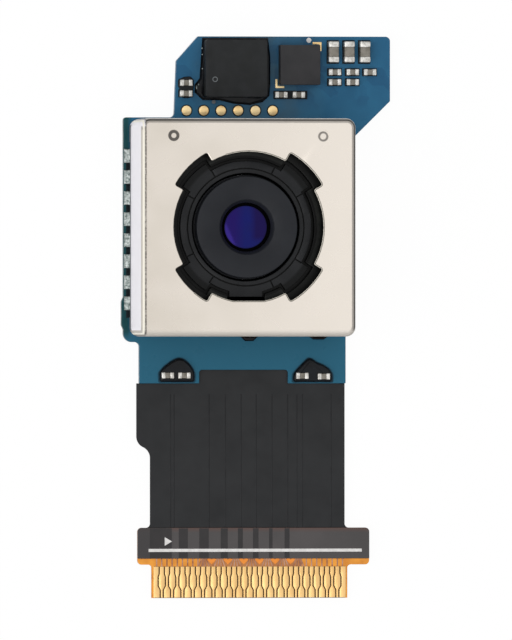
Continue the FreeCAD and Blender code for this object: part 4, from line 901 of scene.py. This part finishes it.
@dataclass
class Lens(Builder):
    """Lens barrel, front lens and the holder round them."""

    body: Body = Body.LENS
    facet: float = 0.012
    bore_facet: float = 0.08
    bore_rim: float = 2.58
    recess: Triple = (2.9, 0.8, 3.771)
    tab_half: Span = (0.97, 0.79)
    tab_ends: Span = (-3.06, -3.33)
    tab_split: float = -3.2
    seat: float = 3.70
    land: float = 0.08
    nose_long: float = 0.80
    cone: float = 0.30
    rooms: tuple[Point, ...] = ((2.25, 1.88), (2.10, 2.49), (1.78, 3.22), (1.45, 3.70))
    clear: float = 1.02
    sag: float = 0.11
    bore: float = 1.17

    def build(self) -> None:
        """Dress the holder and turn the barrel and front lens."""
        self.holder()
        self.barrel()
        self.front_lens()

    def holder(self) -> None:
        """Fill the east recess, narrow the tab, chamfer the bore and round the sectors' edges."""
        top = top_of("lens_holder")
        mesh = solid_of("lens_holder")
        east, half, high = self.recess
        for vert in mesh.verts:
            x, y, z = vert.co / MM
            if x > east and abs(y) < half and abs(z - high) < 0.01:
                vert.co.z = top * MM
        merge(mesh, 1e-6)
        narrow(mesh, self.tab_half, self.tab_ends, self.tab_split)
        merge(mesh, 1e-6)
        rim = self.bore_rim
        soften(mesh, lambda line: level(line, top) and middle(line).xy.length < rim, self.bore_facet, 1)
        soften(mesh, lambda line: level(line, top) and middle(line).xy.length > rim + 0.1,
               self.facet, 2, 60)
        self.part("holder_shell", mesh, "holder_polymer", ["lens_holder"])

    def barrel(self) -> None:
        """Turn the barrel with its flat front, sloped aperture and stepped bore."""
        low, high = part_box("lens_barrel")
        front, back, outer = high.z / MM, low.z / MM, high.x / MM
        nose = outer - 0.07
        steps = [(self.rooms[0][0], back)]
        for room, after in zip(self.rooms, self.rooms[1:]):
            steps += [room, (after[0], room[1])]
        profile = [
            (self.bore, self.seat), (self.bore, front - self.cone), (1.318, front - 0.015),
            (1.345, front), (nose - 0.04, front),
            (nose - 0.018, front - 0.006), (nose - 0.005, front - 0.02), (nose, front - 0.04),
            (nose, front - self.nose_long), (outer, front - self.nose_long), (outer, back),
            *steps, self.rooms[-1], (self.bore, self.seat),
        ]
        self.part("barrel_body", turned(profile), "barrel_polymer", ["lens_barrel"])
        clear, bore, foot, land = self.clear, self.bore, self.seat + 0.005, self.seat + self.land
        lining = [(clear, foot), (clear, land - 0.01), (clear + 0.01, land), (bore - 0.02, land),
                  (bore - 0.015, front - 0.31), (bore + 0.01, front - 0.29), (bore + 0.01, foot),
                  (clear, foot)]
        self.part("stop_lining", turned(lining), "barrel_polymer", finish=STOP_PAINT)

    def front_lens(self) -> None:
        """Turn the front lens, whose curved face fills the aperture."""
        low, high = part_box("lens_1")
        rim, top = high.x / MM, high.z / MM
        cap = [(self.clear * step / 12, top - self.sag * (step / 12) ** 2)
               for step in range(12, -1, -1)]
        profile = [(0, low.z / MM), (rim, low.z / MM), (rim, self.seat), (self.clear, self.seat)] + cap
        self.part("front_lens", turned(profile, 64), "lens_polymer", ["lens_1"], finish=COATED_LENS)


@dataclass
class Stopper(Builder):
    """Black frame that stops the lens holder, seen inside the can's opening."""

    body: Body = Body.CARRIER
    notch_half: Span = (1.12, 0.90)
    notch_ends: Span = (-3.175, -3.60)
    notch_split: float = -3.3

    def build(self) -> None:
        """Dress the frame, with a narrower notch for the holder's tab."""
        mesh = solid_of("stopper_frame")
        narrow(mesh, self.notch_half, self.notch_ends, self.notch_split)
        self.part("stopper_shell", mesh, "holder_polymer", ["stopper_frame"], 0.04, 3, STOPPER_BLACK)


@dataclass
class Board(Builder):
    """Rigid board with its chips, capacitors, pads and marks."""

    mask_edge: float = 0.03
    chip_corner: float = 0.14
    corners: tuple[tuple[Point, Point], ...] = (
        ((-3.04, 7.83), (0.10, 0.14)), ((-2.06, 9.15), (0.16, 0.0)))
    pit: tuple[Point, ...] = (
        (-2.85, 7.08), (-2.57, 7.23), (-2.24, 7.25), (-2.10, 7.08), (-2.08, 6.78), (-2.13, 6.36),
        (-2.33, 6.19), (-2.63, 6.21), (-2.80, 6.36), (-2.76, 6.60), (-2.86, 6.78))
    via_radius: float = 0.07
    vias: tuple[Point, ...] = (
        (6.2, 6.75), (5.75, 6.45), (6.85, 7.9), (4.25, 6.2), (4.9, 6.35), (7.05, 7.2), (-2.7, 5.5))
    domes: tuple[tuple[Point, ...], ...] = (
        ((-3.74, -7.41), (-3.76, -6.95), (-3.52, -6.66), (-3.14, -6.38), (-2.86, -6.26), (-2.62, -6.29),
         (-2.34, -6.50), (-2.14, -6.78), (-2.05, -7.02), (-2.07, -7.41)),
        ((2.72, -7.41), (2.72, -7.02), (2.90, -6.80), (3.22, -6.46), (3.44, -6.26), (3.64, -6.30),
         (3.84, -6.46), (4.16, -6.58), (4.46, -6.78), (4.61, -7.04), (4.60, -7.41)))
    halo: float = 1.07
    resin_west: Point = (-1.3, 7.2)
    resin_west_in: float = 0.10
    resin_south: Point = (-1.6, 6.1)
    resin_south_out: float = 0.05
    specks: tuple[Triple, ...] = (
        (-1.70, 8.60, 0.05), (-1.69, 8.30, 0.03), (-1.96, 6.72, 0.09), (-1.87, 6.86, 0.05),
        (-1.68, 7.62, 0.03))
    north_dot: Triple = (3.485, 8.99, 0.12)
    resin_dot: Triple = (-1.14, 6.02, 0.09)
    pin_ring: tuple[Point, float, float] = ((-1.17, 7.10), 0.09, 0.13)
    chip_window_and_shadow: tuple[float, float, float, float] = (1.80, 3.41, 6.16, 6.57)
    pad_margin: float = 0.05
    joint_first: float = 3.43
    joint_half: float = 0.33
    joint_shadow_gap: float = 0.36
    joint_pitch: float = 1.011
    joint_shadow_side: Span = (-5.36, -5.16)

    def build(self) -> None:
        """Dress the board and everything on it."""
        mesh = solid_of("rigid_board")
        for spot, shift in self.corners:
            for vert in mesh.verts:
                if (vert.co.xy / MM - Vector(spot)).length < 0.12:
                    vert.co.xy += Vector(shift) * MM
        self.part("board_mask", mesh, "solder_mask", ["rigid_board"], self.mask_edge)
        self.chip("controller_body", "controller_chip", self.chip_corner)
        self.chip("gyro_body", "gyro_chip", 0.03, GREY_EPOXY)
        self.underfill()
        for kind, edge in (("large", 0.05), ("small", 0.035)):
            self.dressed(kind + "_cap_bodies", kind + "_capacitors", "ceramic", 0.015)
            self.dressed(kind + "_cap_ends", kind + "_capacitor_ends", "tin", edge, 3)
        self.dressed("pads", "test_pads", "gold", 0.01, finish=PALE_GOLD)
        self.dressed("gyro_corner_marks", "corner_marks", "gold", 0.006, finish=PALE_GOLD)
        self.resin_coats()
        self.marks()
        self.windows_and_shadows()

    def chip(self, name: str, node: str, corner: float, finish: Finish | None = None) -> None:
        """Round a chip's corners, then its top edge."""
        top = top_of(node)
        mesh = solid_of(node)
        soften(mesh, upright, corner, 5)
        soften(mesh, lambda line: level(line, top), 0.03, 3, 60)
        self.part(name, mesh, "chip_mould", [node], finish=finish)

    def underfill(self) -> None:
        """Narrow the resin's northwest side, widen its south side and dot it with solder specks."""
        mesh = solid_of("controller_underfill")
        for vert in mesh.verts:
            if vert.co.x < self.resin_west[0] * MM and vert.co.y > self.resin_west[1] * MM:
                vert.co.x += self.resin_west_in * MM
            if vert.co.x > self.resin_south[0] * MM and vert.co.y < self.resin_south[1] * MM:
                vert.co.y -= self.resin_south_out * MM
        self.part("underfill_flow", mesh, "resin", ["controller_underfill"], 0.05, 3)
        high = top_of("controller_underfill")
        mesh = bmesh.new()
        for x, y, long in self.specks:
            verts = bmesh.ops.create_icosphere(mesh, subdivisions=2, radius=1.0)["verts"]
            bmesh.ops.scale(mesh, verts=verts, vec=(0.035 * MM, long * MM, 0.05 * MM))
            bmesh.ops.translate(mesh, verts=verts, vec=(x * MM, y * MM, (high - SUNK) * MM))
        self.part("resin_specks", mesh, "resin", finish=FINISHES["solder"])

    def resin_coats(self) -> None:
        """Lay the resin over the south capacitors as two smooth domes, and the resin by the chip."""
        low, top = [corner.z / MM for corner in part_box("capacitor_coats")]
        surface = top_of("rigid_board")
        wide = []
        for outline in self.domes:
            centre = sum((Vector(spot) for spot in outline), Vector((0, 0))) / len(outline)
            wide.append([tuple(centre + (Vector(spot) - centre) * self.halo) for spot in outline])
        self.poured("resin_domes", self.domes, (low, top - 0.01), (0.10, 0.13), "resin",
                    ["capacitor_coats"], 5)
        self.poured("resin_halo", wide, (surface - SUNK, surface + 0.012), (0.08, 0.0),
                    "solder_mask", finish=RESIN_HALO)
        self.poured("resin_pit", [self.pit], (surface - SUNK, surface + 0.05), (0.06, 0.045), "resin")

    def poured(self, name: str, outlines: Iterable[Sequence[Point]], span: Span, rounds: Span,
               slot: str, nodes: Iterable[str] = (), steps: int = 3,
               finish: Finish | None = None) -> None:
        """Raise outlines between two heights, and round their corners and their top edges."""
        mesh = bmesh.new()
        for outline in outlines:
            plate(mesh, outline[::-1], *span)
        soften(mesh, upright, rounds[0], 3, 4)
        if rounds[1]:
            soften(mesh, lambda line: level(line, span[1]), rounds[1], steps, 60)
        self.part(name, mesh, slot, nodes, finish=finish)

    def marks(self) -> None:
        """Add the vias, the dots and the ring that marks the controller's first pin."""
        low, high = top_of("rigid_board") - SUNK, top_of("rigid_board")
        self.discs("vias", [(x, y, self.via_radius) for x, y in self.vias], (low, high + 0.012),
                   "solder_mask")
        self.discs("north_dot", [self.north_dot], (low, high + 0.015), "solder_mask", WHITE_INK)
        high = top_of("controller_underfill")
        self.discs("resin_dot", [self.resin_dot], (high - 2 * SUNK, high + 0.012), "resin", GREY_INK)
        high = top_of("controller_chip")
        mesh = bmesh.new()
        hoop(mesh, *self.pin_ring, high - 0.01, high + 0.006)
        self.part("first_pin_ring", mesh, "chip_mould", finish=GREY_INK)

    def windows_and_shadows(self) -> None:
        """Lay dark patches on the mask: openings round the test pads, and painted shadow by the gyro's
        capacitors, between the can's solder joints and round the capacitors.
        """
        surface = top_of("rigid_board")
        low, high = surface - SUNK, surface + 0.006
        mesh = bmesh.new()
        # Painted shadow by the gyro's capacitors, with their pads
        west, east, south, north = self.chip_window_and_shadow
        bar(mesh, (west, south, low), (east, north, surface + 0.008))
        for start, end in islands("test_pads"):
            centre = (start + end) / 2
            dot(mesh, centre.x, centre.y, (end.x - start.x) / 2 + self.pad_margin, low, high)
        # Painted shadow between the can's solder joints
        west, east = self.joint_shadow_side
        for step in range(8):
            south = self.joint_first - self.joint_half - self.joint_shadow_gap - step * self.joint_pitch
            bar(mesh, (west, south, low), (east, south + self.joint_shadow_gap, surface + SUNK))
        # Painted shadow round the capacitors
        for node, wide, tall in (("small_capacitors", 0.19 + 0.06, 0.06),
                                 ("large_capacitors", 0.07, 0.28 + 0.07)):
            for start, end in islands(node):
                bar(mesh, (start.x - wide, start.y - tall, low), (end.x + wide, end.y + tall, high))
        self.part("mask_windows_and_shadow", mesh, "solder_mask", finish=PAD_WINDOW_AND_SHADOW)


@dataclass
class Tail(Builder):
    """Flexible tail, its head and its contacts."""

    trace_high: float = 0.003
    trace_half: float = 0.035
    trace_north: float = -8.0
    traces: tuple[float, ...] = (
        -3.20, -3.03, -1.33, -0.54, 0.22, 0.95, 1.71, 2.47, 2.92, 3.19, 4.58)
    bands: tuple[Point, ...] = (
        (-4.20, -3.14), (-2.80, -2.36), (-1.81, -1.35), (-0.77, -0.43), (0.06, 0.30), (0.79, 1.06),
        (1.57, 1.74), (2.32, 2.56))
    band_inset: float = 0.03
    white_line: tuple[Point, Point] = ((-4.26, -15.565), (6.06, -15.42))
    triangle: tuple[Point, ...] = ((-3.48, -15.27), (-3.13, -15.065), (-3.48, -14.86))
    hearts: tuple[float, ...] = (-1.20, -0.42, 0.35, 1.11, 1.87, 2.62)
    heart: tuple[Point, ...] = (
        (0.0, -0.14), (0.12, -0.02), (0.22, 0.09), (0.17, 0.14), (0.07, 0.14), (0.0, 0.09),
        (-0.07, 0.14), (-0.17, 0.14), (-0.22, 0.09), (-0.12, -0.02))
    heart_up: float = 0.05
    hearts_side: Span = (-1.6, 3.0)
    shade_side: float = 0.55
    fan_side: float = 0.38
    fan_spread: Span = (0.075, 0.17)
    fan_half: Span = (0.024, 0.028)
    centre: float = 0.635
    pitch: float = 0.25
    line_half: float = 0.03

    def build(self) -> None:
        """Dress the tail and draw what shows through its films."""
        self.dressed("tail_film", "flex_cable", "flex_film", 0.02)
        self.dressed("head_cover", "connector_cover", "cover_film", 0.02)
        self.dressed("contacts", "contact_fingers", "gold", 0.008)
        self.conductors()
        self.head_bands()
        self.head_marks()
        self.bare_traces()

    def conductors(self) -> None:
        """Raise thin dark lines at the conductors under the tail's film, as painted shade."""
        low, high = top_of("flex_cable") - SUNK, top_of("flex_cable") + self.trace_high
        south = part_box("connector_cover")[1].y / MM
        self.bars("tail_conductor_shade", [
            ((x - self.trace_half, south, low), (x + self.trace_half, self.trace_north, high))
            for x in self.traces], "flex_film", FILM_GROOVE_SHADE, 0.01)

    def head_bands(self) -> None:
        """Lay the dark bands on the head."""
        low, high = [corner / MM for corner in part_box("connector_cover")]
        south, north = low.y + self.band_inset, high.y - self.band_inset
        self.bars("head_gaps", [((west, south, high.z - SUNK), (east, north, high.z + 0.004))
                                for west, east in self.bands], "cover_film", DARK_BAND)

    def head_marks(self) -> None:
        """Print the white line and the triangle on the head."""
        low, high = top_of("connector_cover") - SUNK, top_of("connector_cover") + 0.01
        mesh = bmesh.new()
        start, end = self.white_line
        bar(mesh, (*start, low), (*end, high))
        plate(mesh, self.triangle, low, high)
        self.part("head_print", mesh, "cover_film", finish=WHITE_INK)

    def bare_traces(self) -> None:
        """Run the bare conductors from the head's cover to the contacts, round the bare hearts."""
        top = top_of("flex_cable")
        low = top - SUNK
        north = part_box("connector_cover")[0].y / MM
        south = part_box("contact_fingers")[1].y / MM
        lines, copper, shade = bmesh.new(), bmesh.new(), bmesh.new()
        for step in range(-18, 19):
            x = self.centre + step * self.pitch
            if not self.hearts_side[0] < x < self.hearts_side[1]:
                bar(lines, (x - self.line_half, south, low), (x + self.line_half, north, top + 0.006))
        middle_y = (north + south) / 2 + self.heart_up
        for x in self.hearts:
            plate(copper, [(x + across, middle_y + along) for across, along in self.heart],
                  low, top + 0.012)
        (near_gap, far_gap), (near_half, far_half) = self.fan_spread, self.fan_half
        for x in [self.hearts[0] - self.fan_side] + [heart + self.fan_side for heart in self.hearts]:
            for step in (-1.5, -0.5, 0.5, 1.5):
                near, far = x + step * near_gap, x + step * far_gap
                plate(lines, [(near + near_half, north), (near - near_half, north),
                              (far - far_half, south), (far + far_half, south)], low, top + 0.008)
        bar(shade, (self.hearts[0] - self.shade_side, south, low),
            (self.hearts[-1] + self.shade_side, north, top + 0.003))
        for name, mesh, finish in (("strip_lines", lines, COPPER_LINES),
                                   ("strip_shade", shade, COPPER_SHADE),
                                   ("strip_hearts", copper, BARE_COPPER)):
            self.part(name, mesh, "gold", finish=finish)


def finish_inside() -> None:
    """Give each CAD node its slot's finish; those that no piece replaces keep their own meshes."""
    slots = {entry["node"]: entry["material_slot"] for entry in frame["record"]["subparts"]}
    for name, item in frame["nodes"].items():
        material = FINISHES[slots[name]].make()
        for place in item.material_slots:
            place.material = material
        LOG.info("%s: %s", name, material.name)


@dataclass
class Studio:
    """Pale floor, soft dome, one broad lamp and the camera."""

    tilt: float = 7.5
    distance: float = 0.9
    lens: float = 1054.6875
    sensor: float = 36.0
    target: Triple = (0.924, -4.44, 0.6)
    floor_size: float = 3.0
    floor_drop: float = 0.02
    shine: float = 0.96
    lamp_spot: Triple = (-1.1, -0.5, 1.4)
    lamp_size: float = 2.0
    lamp_power: float = 16.0

    def build(self) -> None:
        """Set up the studio."""
        bpy.context.scene.view_settings.view_transform = "Standard"
        self.floor()
        self.dome()
        self.lamp()
        self.camera()

    def floor(self) -> None:
        """Lay the floor: white to the camera, and still shaded by the module."""
        mesh = bmesh.new()
        bmesh.ops.create_grid(mesh, x_segments=1, y_segments=1, size=self.floor_size / 2)
        bmesh.ops.translate(mesh, verts=mesh.verts[:], vec=(0, 0, -self.floor_drop * MM))
        data = mesh_data("floor", mesh)
        material = bpy.data.materials.new("studio_floor")
        nodes = nodes_of(material)
        paint = nodes.add("BsdfDiffuse", {"Color": linear("fcfcfc")})
        glow = nodes.add("Emission", {"Color": linear("ffffff"), "Strength": 1.0})
        path = nodes.add("LightPath").outputs
        seen = nodes.math("MAXIMUM", path["Is Camera Ray"], path["Is Glossy Ray"])
        seen = nodes.math("MAXIMUM", seen, path["Is Transmission Ray"])
        mixed = nodes.add("MixShader", {0: nodes.times(seen, self.shine), 1: paint.outputs[0],
                                        2: glow.outputs[0]})
        nodes.add("OutputMaterial", {"Surface": mixed.outputs[0]})
        data.materials.append(material)
        stand("floor", data)

    def dome(self) -> None:
        """Light from all round, brighter overhead; the camera sees it as a white backdrop."""
        world = bpy.data.worlds.new("soft_dome")
        bpy.context.scene.world = world
        nodes = nodes_of(world)
        up = nodes.add("SeparateXYZ", {0: nodes.add("TexCoord").outputs["Generated"]}).outputs[2]
        power = nodes.scale(up, 0.35, 0.75, 0.12, 1.05)
        light = nodes.add("Background", {"Color": linear("ffffff"), "Strength": power})
        plain = nodes.add("Background", {"Color": linear("ffffff"), "Strength": 1.0})
        seen = nodes.add("LightPath").outputs["Is Camera Ray"]
        mixed = nodes.add("MixShader", {0: seen, 1: light.outputs[0], 2: plain.outputs[0]})
        nodes.add("OutputWorld", {"Surface": mixed.outputs[0]})

    def lamp(self) -> None:
        """Hang a square lamp that faces the module."""
        light = bpy.data.lights.new("key", "AREA")
        light.shape = "SQUARE"
        light.size = self.lamp_size
        light.energy = self.lamp_power
        item = stand("key", light)
        item.rotation_mode = "QUATERNION"
        item.rotation_quaternion = Vector(self.lamp_spot).to_track_quat("Z", "Y")
        item.location = self.lamp_spot

    def camera(self) -> None:
        """Look down on the module, tilted as the photograph is."""
        data = bpy.data.cameras.new("camera")
        data.lens = self.lens
        data.sensor_width = data.sensor_height = self.sensor
        data.clip_end = 10.0
        item = stand("camera", data)
        lean = math.radians(self.tilt)
        right = Vector((math.cos(lean), 0, math.sin(lean)))
        back = Vector((-math.sin(lean), 0, math.cos(lean)))
        spot = Vector(self.target) * MM + back * self.distance
        item.matrix_world = Matrix((right, (0, 1, 0), back)).transposed().to_4x4()
        item.matrix_world.translation = spot
        bpy.context.scene.camera = item


def main() -> None:
    """Build every group in order."""
    logging.basicConfig(level=logging.INFO, format="%(message)s")
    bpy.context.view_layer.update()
    finish_inside()
    for group in (Board(), ShieldCan(), Stopper(), Lens(), Tail()):
        group.build()
    Studio().build()


if __name__ == "__main__":
    main()
